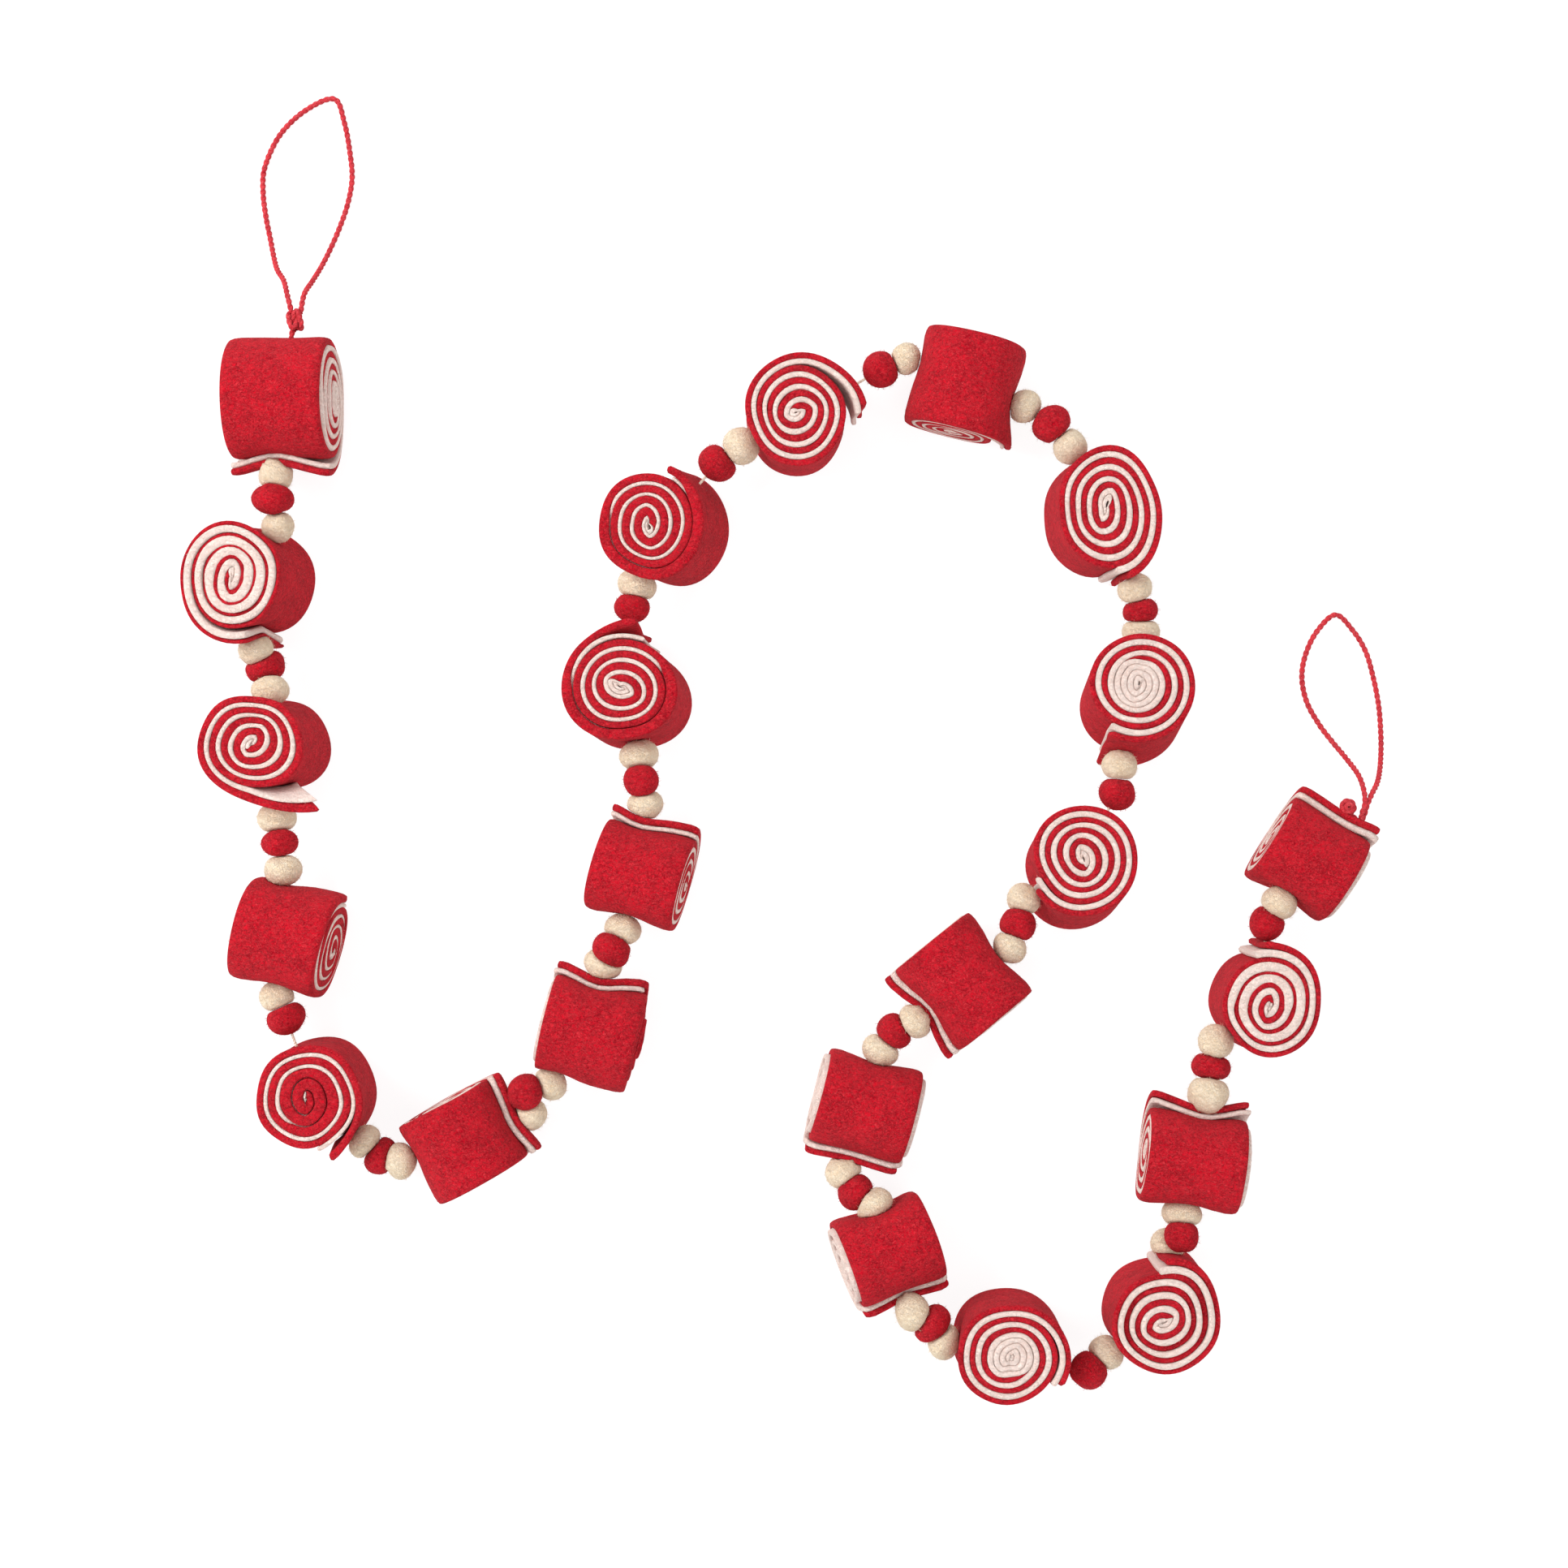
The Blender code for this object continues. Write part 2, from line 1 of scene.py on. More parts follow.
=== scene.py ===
# %% [markdown]
# # A felt candy garland
# The real thing is a Christmas garland that is laid out flat to be photographed. It has 23 candies, each rolled
# up from a red and a white strip of wool felt. They are strung together with small felt balls between them, and
# it hangs by a twisted red cord loop at each end.
#
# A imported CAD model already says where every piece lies. This notebook loads it as a fixed frame and builds a
# finely shaped piece of felt or cord in the place of each plain solid. Lengths are in millimetres, in the
# coordinates of the plan that the CAD model was drawn from, and `metres` turns them into Blender's.

# %% Load the frame
import random
from collections import namedtuple
from math import atan2, cos, pi, radians, sin

import bmesh
import bpy
import numpy as np
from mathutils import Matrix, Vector


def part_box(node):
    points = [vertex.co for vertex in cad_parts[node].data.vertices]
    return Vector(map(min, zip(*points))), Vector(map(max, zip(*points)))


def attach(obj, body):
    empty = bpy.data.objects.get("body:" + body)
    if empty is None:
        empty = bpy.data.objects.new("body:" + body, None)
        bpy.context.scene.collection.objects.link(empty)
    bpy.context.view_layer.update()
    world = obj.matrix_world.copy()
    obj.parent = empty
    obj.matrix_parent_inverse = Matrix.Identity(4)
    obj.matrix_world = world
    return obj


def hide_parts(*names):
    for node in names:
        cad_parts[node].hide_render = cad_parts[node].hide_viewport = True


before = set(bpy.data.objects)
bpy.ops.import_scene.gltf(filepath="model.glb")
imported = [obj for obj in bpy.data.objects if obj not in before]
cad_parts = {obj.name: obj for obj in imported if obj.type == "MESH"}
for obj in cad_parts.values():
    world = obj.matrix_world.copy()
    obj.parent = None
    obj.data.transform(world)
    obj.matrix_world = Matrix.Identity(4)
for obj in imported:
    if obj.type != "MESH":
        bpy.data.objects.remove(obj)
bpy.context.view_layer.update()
scene = bpy.context.scene
MM = 0.001
TURN = 2 * pi
CENTRE = np.array((-1.4, -32.5, 0.0))


def metres(points):
    return (np.asarray(points, float) - CENTRE) * MM


def add_object(name, data):
    made = bpy.data.objects.new(name, data)
    scene.collection.objects.link(made)
    return made


print("CAD nodes:", len(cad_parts))

# %% [markdown]
# ## Camera
# The garland was photographed straight from above, with hardly any perspective. A camera looks down its own -Z
# axis, so one without any rotation already looks straight down, with +Y at the top of the picture. Its height
# and lens together set the scale, and 1.2 m away the tall candies lean outwards just as they do in the photo.

# %% Camera
camera = add_object("camera", bpy.data.cameras.new("camera"))
camera.location = (*metres((0, 0, 0))[:2], 1.2)
camera.data.lens = 63.6
camera.data.sensor_width = 36.0
scene.camera = camera
print("camera at", [round(v, 4) for v in camera.location])

# %% [markdown]
# ## Meshes from arrays
# Most pieces here are strips, tubes and balls, so their points come from formulas. They could be drawn one by
# one with bmesh, but numpy works out a whole grid of points at once, and a mesh takes its points and faces
# straight from such a grid. A row of the grid is one section of the piece.

# %% Meshes from arrays
def grid_faces(rows, columns, first=0):
    """Four-sided faces between the rows of a grid whose columns close on themselves."""
    row, column = np.meshgrid(np.arange(rows - 1), np.arange(columns), indexing="ij")
    onward = (column + 1) % columns
    corners = (row * columns + column, (row + 1) * columns + column)
    corners += ((row + 1) * columns + onward, row * columns + onward)
    return np.stack([corner.ravel() for corner in corners], axis=1) + first


def add_piece(node, part, points, faces, slot, closed=True):
    """A smooth-shaded mesh in the place of a CAD node, which rides on the garland's one body."""
    mesh = bpy.data.meshes.new(f"{node}_{part}")
    mesh.from_pydata(metres(points).tolist(), [], [list(map(int, face)) for face in faces])
    if closed:
        bm = bmesh.new()
        bm.from_mesh(mesh)
        bmesh.ops.recalc_face_normals(bm, faces=bm.faces)
        bm.to_mesh(mesh)
        bm.free()
    mesh.materials.append(FELTS[slot])
    mesh.shade_smooth()
    made = add_object(mesh.name, mesh)
    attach(made, "root")
    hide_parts(node)
    return made


def join(parts):
    """Several (points, faces) as one."""
    points, faces, first = [], [], 0
    for some, theirs in parts:
        points.append(some)
        faces += [[corner + first for corner in face] for face in theirs]
        first += len(some)
    return np.vstack(points), faces


def unit(vectors):
    return vectors / np.maximum(np.linalg.norm(vectors, axis=-1, keepdims=True), 1e-9)


def square_to(along):
    """A level direction and a rising one, both square to this one."""
    side = unit(np.cross(along, (0.0, 0.0, 1.0)))
    return side, np.cross(side, along)


# %% [markdown]
# ## Shader maths
# A material's nodes could be wired one link at a time, but then its arithmetic is hard to read. This small class
# wraps a socket, so `mask * 0.5 + lumps` adds the Math nodes by itself. Every other node comes from `node`,
# which sets the node's own settings first and then its sockets.

# %% Shader maths
class Wire:
    """A socket of a material. Arithmetic on it adds Math nodes."""

    def __init__(self, tree, socket=None):
        self.tree = tree
        self.socket = socket

    def node(self, kind, settings=(), sockets=(), out=0):
        made = self.tree.nodes.new(kind)
        for key, value in dict(settings).items():
            setattr(made, key, value)
        for key, value in dict(sockets).items():
            if isinstance(value, Wire):
                self.tree.links.new(value.socket, made.inputs[key])
            else:
                made.inputs[key].default_value = value
        return Wire(self.tree, made.outputs[out])

    def maths(self, operation, other):
        return self.node("ShaderNodeMath", {"operation": operation}, {0: self, 1: other})

    def __add__(self, other):
        return self.maths("ADD", other)

    def __mul__(self, other):
        return self.maths("MULTIPLY", other)

    def noise(self, scale, detail, out=0):
        return self.node("ShaderNodeTexNoise", {}, {"Vector": self, "Scale": scale, "Detail": detail}, out)

    def spread(self, low, high):
        """0 below low and 1 above high, with a soft step between them."""
        span = {"interpolation_type": "SMOOTHSTEP"}
        return self.node("ShaderNodeMapRange", span, {"Value": self, "From Min": low, "From Max": high})

    def mix(self, one, other):
        """One colour where this mask is 0 and the other where it is 1."""
        return self.node("ShaderNodeMix", {"data_type": "RGBA"}, {0: self, 6: one, 7: other}, out=2)


def colour(red, green, blue):
    """A colour as it is read off a screen, from 0 to 255, turned into the linear numbers that light needs."""
    parts = [part / 255 for part in (red, green, blue)]
    return (*[part / 12.92 if part <= 0.04045 else ((part + 0.055) / 1.055) ** 2.4 for part in parts], 1.0)


# %% [markdown]
# ## Felt
# Wool felt is a mat of short curly fibres. Close up it has no weave, only hair lines in every direction, soft
# lumps, and patches where the dye took more or less. A picture of felt could be wrapped round each piece, but
# this one is worked out in space: a noise is stretched into hairs that point four ways and is bent by another
# one, so that it flows over edges without seams. The dye comes in soft patches, small ones over broad ones. The
# hairs are painted in a paler colour, a painted highlight for the light they catch. A trace of sheen gives the
# pale bloom that fine wool has at grazing angles.

# %% Felt
FELT_SHADER = {"Roughness": 0.95, "Specular IOR Level": 0.08, "Sheen Weight": 0.03, "Sheen Roughness": 0.5}
WARP = 0.004  # metres that a fibre bends aside
RELIEF = 0.0007  # metres from the lowest felt to the highest
FIBRE_SCALE = (380.0, 2600.0, 2600.0)  # long one way and fine the other two
FIBRE_WAYS = ((0.3, 0.2, 0.9), (1.3, 0.7, 2.2), (0.8, 2.0, 0.4), (2.4, 1.2, 1.5))


def new_material(name, values):
    made = bpy.data.materials.new(name)
    made.use_nodes = True
    shader = made.node_tree.nodes["Principled BSDF"]
    for socket, value in values.items():
        shader.inputs[socket].default_value = value
    return made, shader


def felt(name, base, shade, painted_highlight, strength):
    """Felt of a base colour, with patches of darker dye, and short curly fibres painted paler as a painted highlight.
    """
    made, shader = new_material(name, FELT_SHADER)
    base, shade, painted_highlight = (colour(*tone) for tone in (base, shade, painted_highlight))
    tree = made.node_tree
    start = Wire(tree)
    place = start.node("ShaderNodeTexCoord", out="Object")
    warp = place.noise(480.0, 2.0, "Color")
    bent = start.node("ShaderNodeVectorMath", {"operation": "MULTIPLY_ADD"}, {0: warp, 1: (WARP,) * 3, 2: place})
    fibres = 0.0
    for turned in FIBRE_WAYS:
        along = start.node("ShaderNodeMapping", {}, {"Vector": bent, "Rotation": turned, "Scale": FIBRE_SCALE})
        fibres = along.noise(1.0, 1.0).spread(0.52, 0.66) + fibres
    broad = place.noise(130.0, 2.0)
    patches = bent.noise(850.0, 3.0)
    lumps = place.noise(1100.0, 2.0)
    dyed = (patches * 0.85 + broad * 0.35).spread(0.46, 0.76).mix(base, shade)
    # The fibres take the paler colour: a painted highlight that stands in for the light they catch.
    dye_and_painted_highlight = (fibres * 0.3).mix(dyed, painted_highlight)
    relief = fibres * 0.35 + lumps * 0.8 + patches * 0.4
    sockets = {"Height": relief, "Strength": strength, "Distance": RELIEF}
    bump = start.node("ShaderNodeBump", {}, sockets)
    tree.links.new(dye_and_painted_highlight.socket, shader.inputs["Base Color"])
    tree.links.new(bump.socket, shader.inputs["Normal"])
    return made


# Each felt's base colour, its shade where the dye took more, the painted highlight on its fibres, and the strength of
# its relief.
FELT_TONES = {
    "red_felt": ((205, 14, 36), (147, 1, 21), (228, 62, 70), 0.75),
    "white_felt": ((249, 227, 217), (236, 206, 194), (253, 240, 232), 0.75),
    "natural_felt": ((246, 227, 198), (232, 207, 172), (252, 241, 222), 0.75),
    "red_cord": ((208, 48, 58), (170, 26, 42), (230, 100, 104), 0.5),
    "thread": ((240, 228, 208), (222, 204, 178), (250, 244, 230), 0.4),
}
FELTS = {name: felt(name, *tones) for name, tones in FELT_TONES.items()}
print("felts:", list(FELTS))

# %% [markdown]
# ## Twisted cord
# The hanging loops are a soft red cord of two plies, 2.5 mm thick, and the stringing thread is a thinner
# one. A single tube would show no twist, and an image of one would look flat. So each ply is its own tube that
# winds round the cord's middle line, and the plies press into each other as they do in real cord.

# %% Twisted cord
PLIES = 2
PLY_SHARE = 0.72  # of the cord's thickness
ROUND_PLY = 8
CORD_LAY = 5.2
CORD_STEP = 0.55


def reached_along(path):
    """How far along a path each of its points is."""
    return np.concatenate([[0], np.cumsum(np.linalg.norm(np.diff(path, axis=0), axis=1))])


def length_of(path):
    return float(np.linalg.norm(np.diff(path, axis=0), axis=1).sum())


def smooth_path(points, step=CORD_STEP):
    """A smooth curve through the points, as new points that are step apart."""
    points = np.asarray(points, float)
    ends = np.vstack([2 * points[0] - points[1], points, 2 * points[-1] - points[-2]])
    fine = []
    share = np.linspace(0, 1, 24, endpoint=False)[:, None]
    for before, start, end, after in zip(ends, ends[1:], ends[2:], ends[3:]):
        bend = (2 * before - 5 * start + 4 * end - after) * share**2
        bend = bend + (3 * start - before - 3 * end + after) * share**3
        fine.append((2 * start + (end - before) * share + bend) / 2)
    fine = np.vstack([*fine, points[-1:]])
    reached = reached_along(fine)
    even = np.linspace(0, reached[-1], max(2, round(reached[-1] / step)) + 1)
    return np.stack([np.interp(even, reached, fine[:, axis]) for axis in range(3)], axis=1)


def frames_along(path):
    """At each point of a path, two directions square to it that don't spin round it."""
    along = unit(np.gradient(path, axis=0))
    side = np.cross(along[0], (0.0, 0.3, 1.0))
    sides = []
    for direction in along:
        side = side - direction * side.dot(direction)
        side = side / np.linalg.norm(side)
        sides.append(side)
    sides = np.array(sides)
    return sides, np.cross(along, sides)


def twisted(path, thickness, lay=CORD_LAY):
    """The points and faces of plies that wind round a path, one turn in every lay of its length."""
    reached = reached_along(path)
    sides, ups = frames_along(path)
    ply = thickness / 2 * PLY_SHARE
    out = thickness / 2 - ply
    around = np.arange(ROUND_PLY) * TURN / ROUND_PLY
    ring = np.cos(around)[None, :, None] * sides[:, None] + np.sin(around)[None, :, None] * ups[:, None]
    points, faces = [], []
    for number in range(PLIES):
        turn = (reached / lay + number / PLIES) * TURN
        middle = path + out * (np.cos(turn)[:, None] * sides + np.sin(turn)[:, None] * ups)
        first = len(path) * ROUND_PLY * number
        last = first + (len(path) - 1) * ROUND_PLY
        faces += grid_faces(len(path), ROUND_PLY, first).tolist()
        faces += [list(range(first, first + ROUND_PLY)), list(range(last, last + ROUND_PLY))[::-1]]
        points.append((middle[:, None] + ply * ring).reshape(-1, 3))
    return np.vstack(points), faces

# %% [markdown]
# ## Cord loops
# A loop leaves its knot as two strands, comes down from the height of the string and lies in an oval on the
# table. Its cord is limp, but springy enough to keep an open oval. The routes are the same as in the CAD model,
# and both ends of each loop go back into the knot, so the cord's far end is the object itself.

# %% Cord loops
CORD = 2.5
LIES = CORD / 2
Knot = namedtuple("Knot", "side x y length across")
KNOTS = (Knot("left", -207.2, 196.5, 9.6, 7.6), Knot("right", 239, -10.0, 7.5, 7.0))
# The route of each loop, which lies on the table where no height is given.
LOOPS = (
    (
        (-210.6, 207, 24.6), (-213.2, 214.5, 19), (-217.3, 220.5, 11.5), (-219.9, 227, 5.4), (-222.2, 236, 1.8),
        (-224.1, 245), (-225.4, 256), (-224.6, 267), (-218, 281), (-207, 291.5), (-194.6, 296.4), (-190.2, 286),
        (-187.8, 273), (-186.9, 262), (-188.8, 251), (-192.4, 240.5), (-196.4, 230.5, 2.6), (-199.2, 222.5, 7.6),
        (-201.6, 215, 15.5), (-203.7, 208, 23.6),
    ),
    (
        (246.2, -3, 24.3), (244.9, 4, 18.6), (241.2, 11.5, 9.6), (236.6, 18.5, 3.6), (231.4, 26), (226.2, 35.5),
        (224.1, 46), (225.7, 56), (230.6, 66), (238.6, 73.2), (246.0, 66.6), (251.6, 57.5), (255.0, 46),
        (257.3, 34), (258.2, 23), (257.8, 14.5, 3.8), (255.9, 6.5, 10.5), (253, 0.5, 18.6), (249.6, -4.2, 24.0),
    ),
)
# Where the two strands run inside each knot, in plan and above the middle of the knot.
MOUTHS = (
    (((-208.7, 199.6, 0),), ((-205.0, 199.6, 0),)),
    (
        ((244.6, -16.4, -0.6), (244.9, -12.6, 0.4), (246.1, -8.6, 0.6)),
        ((247.2, -9.0, -0.3), (246.1, -13.4, -1.2), (244.6, -16.4, -1.4)),
    ),
)


def knot_height(knot):
    """Half way up the CAD knot's barrel, which is where the string goes through it."""
    low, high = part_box(f"knot_{knot.side}")
    return (low.z + high.z) / 2 / MM


def raised(knot, spots):
    """Spots whose third number is how far they are above the middle of a knot."""
    return [(x, y, knot_height(knot) + above) for x, y, above in spots]


loops = []
for knot, route, (start, end) in zip(KNOTS, LOOPS, MOUTHS):
    laid = [(*spot, LIES)[:3] for spot in route]
    path = smooth_path([*raised(knot, start), *laid, *raised(knot, end)])
    loops.append((add_piece(f"loop_{knot.side}", "cord", *twisted(path, CORD), "red_cord"), path))
    print(f"loop_{knot.side}_cord: {length_of(path):.0f} mm of cord")

# %% [markdown]
# ## Knots
# Where the string leaves the last candy at each end, it is tied off, and the loop comes out of the knot. A blob
# would do from far away, but the crossings show here. The left one is a tight overhand knot: a trefoil is that
# knot with its ends joined, so a trefoil curve drawn tight makes it. The right one is seen end on, as a little
# ball of cord beside the fork of the strands, so its cord curls in from the outside to the top. A thicker core
# fills the hole in the middle of each.

# %% Knots
CORE_LAY = 9
CURL_TURNS = 2.3
CURL_FROM = 3.4  # radians


def tight_knot(middle, along, length, across):
    """A trefoil pulled tight round the string, with its axis along it."""
    turn = np.linspace(0, TURN, 110)
    along = unit(np.asarray(along, float))
    side, up = square_to(along)
    reach = (across - CORD) / 2 / 3
    flat = np.stack([np.sin(turn) + 2 * np.sin(2 * turn), np.cos(turn) - 2 * np.cos(2 * turn)], axis=1) * reach
    deep = -np.sin(3 * turn) * (length - CORD) / 2
    return middle + flat[:, :1] * side + flat[:, 1:] * up + deep[:, None] * along


def curled(middle, across):
    """A knot pulled into a little ball, seen end on: its cord curls in from the outside to the top."""
    turn = np.linspace(0, CURL_TURNS * TURN, 80)
    reach = (across - CORD) / 2 * (1 - (turn / turn[-1]) ** 1.6 * 0.95)
    height = (across - CORD) * 0.5 * np.sin(turn / turn[-1] * pi / 2)
    turn = turn + CURL_FROM
    return middle + np.stack([reach * np.cos(turn), reach * np.sin(turn), height], axis=1)


def add_knot(knot, cords, core, core_thickness):
    parts = [twisted(cord, CORD) for cord in cords] + [twisted(core, core_thickness, CORE_LAY)]
    return add_piece(f"knot_{knot.side}", "tied", *join(parts), "red_cord")


left, right = KNOTS
middle = np.array((left.x, left.y, knot_height(left)))
tied = tight_knot(middle, (0.1, -1.0, 0.1), left.length, left.across + 0.4)
tail = smooth_path([*raised(left, [(-209.6, 183.5, -2), (-208.9, 190.5, -1)]), middle])
core = smooth_path([middle + (0.4, -4, 0.5), middle + (-0.6, 0, -0.5), middle + (0.2, 4, 0.3)], 0.5)
knots = [add_knot(left, (tied, tail), core, 3.4)]
middle = np.array((right.x - 0.4, right.y + 0.2, knot_height(right)))
tail = smooth_path([middle + (1.2, -2.5, -1.0), *raised(right, [(242.2, -14.6, -0.6), (244.6, -16.2, 0)])])
neck = smooth_path(raised(right, [(245.4, -13, 0), (244.2, -16.6, -0.2), (239.5, -21, -1)]))
core = smooth_path([middle - (0, 0, 2), middle, middle + (0, 0, 1.6)], 0.5)
turns_of_cord = (curled(middle, 8.6), curled(middle - (0, 0, 2), 7.6)[::-1])
knots.append(add_knot(right, (*turns_of_cord, tail, neck), core, 3.6))
for tied, (loop, path) in zip(knots, loops):
    spots = metres(path)
    spots[::3].tolist() + [spots[-1].tolist()]
print("knots:", [tied.name for tied in knots])

# %% [markdown]
# ## Where the candies lie
# These tables repeat the CAD model's: each candy's middle in plan, where its axis points, its size across, the
# width of its strips, where round it the cut end of the felt comes, and which way it winds in. A bead has its
# place in plan, its size across and along the string, and how far it rises above the string's own line. The
# beads are given as natural, red, natural, and `None` is a place where the bare thread shows. The neighbours are
# the beads or knots that press into each candy: where they are, and how far they reach towards it.

# %% Tables of candies and beads
PITCH = 4.9  # of the spiral: one red and one white layer
LOOSE = 5 / 16  # of a turn stands off the roll
FLAT_SPOT = 2.0
DENT_ANGLE = radians(30)
DENT_LENGTH = 10.0
DENT_LEAST = 0.6
DENT_MOST = {True: 4.5, False: 7.0}  # for a candy that stands, and for one that lies
DENT_TURNS = 3.0  # over which a dent fades out inwards
Candy = namedtuple("Candy", "x y heading rise wide tall strip end turn")
CANDY_ROWS = (
    (-213.5, 162, 0, 5, 56, 47, 43, 172, 1),
    (-227, 86.5, 180, 78, 43, 50, 41, -67, -1),
    (-220, 17, 175, 82, 45, 43, 41, -44, -1),
    (-211, -66, -14, 5, 47, 46, 39, -20, 1),
    (-200, -132, 0, 90, 44, 45, 42, -63, 1),
    (-135.5, -151.5, -61, 0, 49, 45, 38, 10, -1),
    (-82.5, -104.7, -13, 0, 50, 45, 40, 10, -1),
    (-60.5, -37.5, -15, 6, 46, 45, 39, 10, -1),
    (-65.5, 38.5, 141, 81, 49, 46, 41, 72, 1),
    (-52, 109, 180, 76, 44, 47, 41, 70, -1),
    (5.8, 155.5, 0, 90, 45, 47, 42, 4, 1),
    (76, 170, -104, 0, 44, 44, 42, -28, 1),
    (133.5, 115, 20, 86, 42, 53, 42, -84, 1),
    (149, 37, 90, 76, 45, 44, 41, -122, 1),
    (125, -34.5, 90, 79, 46, 46, 41, -152, 1),
    (75.5, -84.5, -51, 5, 47, 45, 44, 172, 1),
    (34.5, -137.5, -15, -1, 45, 44, 41, 172, 1),
    (44.5, -198, 20, -7, 44, 44, 39, 172, 1),
    (94.5, -240, 0, 90, 46, 43, 42, -32, 1),
    (158.5, -225.5, 0, 90, 45, 44, 42, 90, -1),
    (173.5, -159.5, -8, 1, 46, 45, 42, 10, -1),
    (203, -93, 0, 90, 42, 44, 41, 112, -1),
    (222.5, -32.5, -32, 3, 44, 44, 38, 18, -1),
)
CANDIES = [Candy(*row) for row in CANDY_ROWS]
Bead = namedtuple("Bead", "x y across length rise")
BEAD_ROWS = (
    ((-216, 131, 14.6, 13, -1.5), (-217, 121, 17.4, 13.5, 2), (-215.5, 109.5, 14, 13, -1)),
    ((-224.5, 57, 15.2, 12.5, 1.5), (-221, 50, 17.4, 13.5, -1.5), (-218.5, 40, 16, 13, 1)),
    ((-216, -14.5, 17, 13, -1), (-214.5, -25, 15.5, 12.2, 1), (-213.3, -36.5, 16.2, 13.2, 0)),
    ((-216, -90.5, 14.6, 13, 0), (-212, -99.5, 16.6, 13.4, 0), None),
    ((-178.3, -152, 15.2, 11, 0), (-171.5, -158.3, 16.6, 13, -1), (-163, -160, 15.8, 12.8, 1.5)),
    ((-108, -140.5, 14.5, 13, -2.5), (-109.7, -130.8, 15.4, 15.4, 2.5), (-99.5, -127.6, 14.8, 12.6, -1.5)),
    ((-77, -76.7, 16.5, 12.5, -1.5), (-73.2, -70.3, 17, 13.6, 2), (-68.6, -61.8, 16, 12.6, -1.5)),
    ((-59, -8.7, 15.5, 12.4, -1), (-60.7, 1.3, 15.3, 14.2, 2), (-61.8, 12, 17, 12.8, -1)),
    (None, (-64.6, 75.3, 15.2, 12.8, 0.5), (-62.8, 84.6, 16.6, 13.2, 0)),
    (None, (-28.6, 136.5, 17, 13.6, -1), (-18.3, 143.8, 16, 15, 1)),
    (None, (41.2, 176.5, 16, 14.6, 0), (52, 181.2, 13.9, 12.2, 0)),
    ((102.5, 161, 14.5, 13, -1), (113.8, 153.2, 17, 14.6, 1), (121.8, 143.9, 14.8, 14.4, -0.5)),
    ((149.2, 82.9, 14.6, 13, 1), (151.7, 73.7, 14.9, 11.8, 0), (152, 64.9, 16.2, 12.4, -1)),
    ((142.8, 7.8, 15.2, 12.8, 0.5), (141.9, -3.9, 15.8, 13.8, 0), None),
    ((102, -49.3, 14.5, 13, -1.5), (99.5, -59.6, 15.3, 14.8, 0.5), (95.9, -69.3, 14.9, 12.8, 1)),
    ((55.5, -100.7, 15.3, 12.6, 1.5), (47, -105.2, 15.9, 13.8, 0), (41, -113.3, 16.3, 12.6, -1)),
    ((25, -166, 15.2, 12.6, -2.5), (30.5, -173.5, 15.9, 15.2, 0), (38.2, -178.2, 16.6, 12, 2.5)),
    ((54.8, -224.8, 15.2, 13.8, 1), (63.1, -229.4, 17.2, 13.2, 0), (68.1, -237.4, 15.8, 12.6, -1.5)),
    (None, (129.6, -249.2, 16.3, 15.2, 1), (137.3, -242.2, 15.3, 13.2, -1.5)),
    ((164, -196.5, 15.2, 12.6, -5), (168.7, -191.8, 14.9, 13.2, 3), (169.3, -182.8, 17.4, 12, -0.5)),
    ((180.3, -130.8, 17.6, 13, 1), (181.8, -120.4, 16.9, 12.2, -1), (183.8, -109.7, 15.4, 14.4, 0.5)),
    (None, (205.6, -59.3, 14.9, 14.6, -1), (210.6, -50.5, 15.5, 13.2, 1.5)),
)
BEADS = [[Bead(*sizes) if sizes else None for sizes in row] for row in BEAD_ROWS]
BEAD_COLOURS = ("natural", "red", "natural")
knot_spots = [[(knot.x, knot.y, knot.length / 2)] for knot in KNOTS]
neighbours = [knot_spots[0]]
for row in BEADS:
    strung = [(bead.x, bead.y, bead.length / 2) for bead in row if bead]
    neighbours[-1].append(strung[0])
    neighbours.append([strung[-1]])
neighbours[-1] += knot_spots[1]
print("candies:", len(CANDIES), "beads:", sum(bead is not None for row in BEADS for bead in row))

# %% [markdown]
# ## How each roll was wound
# No two rolls are alike, and a viewer knows handwork by that. These are the looks that the CAD model leaves
# out, in millimetres unless it says otherwise:
#
# - `red` is the red felt's share of a turn, and `inner` the turn where the red strip ends in the white core.
# - `white_at` and `red_at` are how far from the cut end each strip begins, and `lift` and `low` how far both stand
#   off the roll there at the two ends of the candy, with `middle` as the share of that at the string. `peel` is
#   how far the red one also comes away from the white one at each end. `slant` cuts the felt's end at an angle.
# - `sunk` and `sunk_in` are how deep the red edges lie below the white ones in the outer and inner turns, and
#   `wide` how far the white strip is wider than the red one at each end of the candy. Between the two turns of
#   `shut` the red edges close over the white one, or the white ones over a red one that is sunk over 1 mm.
# - `thick` is how full the felt is at its cut end, `slit` the direction in degrees in which the core is pressed
#   together, and `bulge` how far the core is pushed out of the face.
# - `bump` is a swelling and the direction of it, which the inner turns follow, and `dent` makes the second of the
#   string's dents deeper or shallower than the CAD model's. `over` is 1 where a ball swells over the cut end.

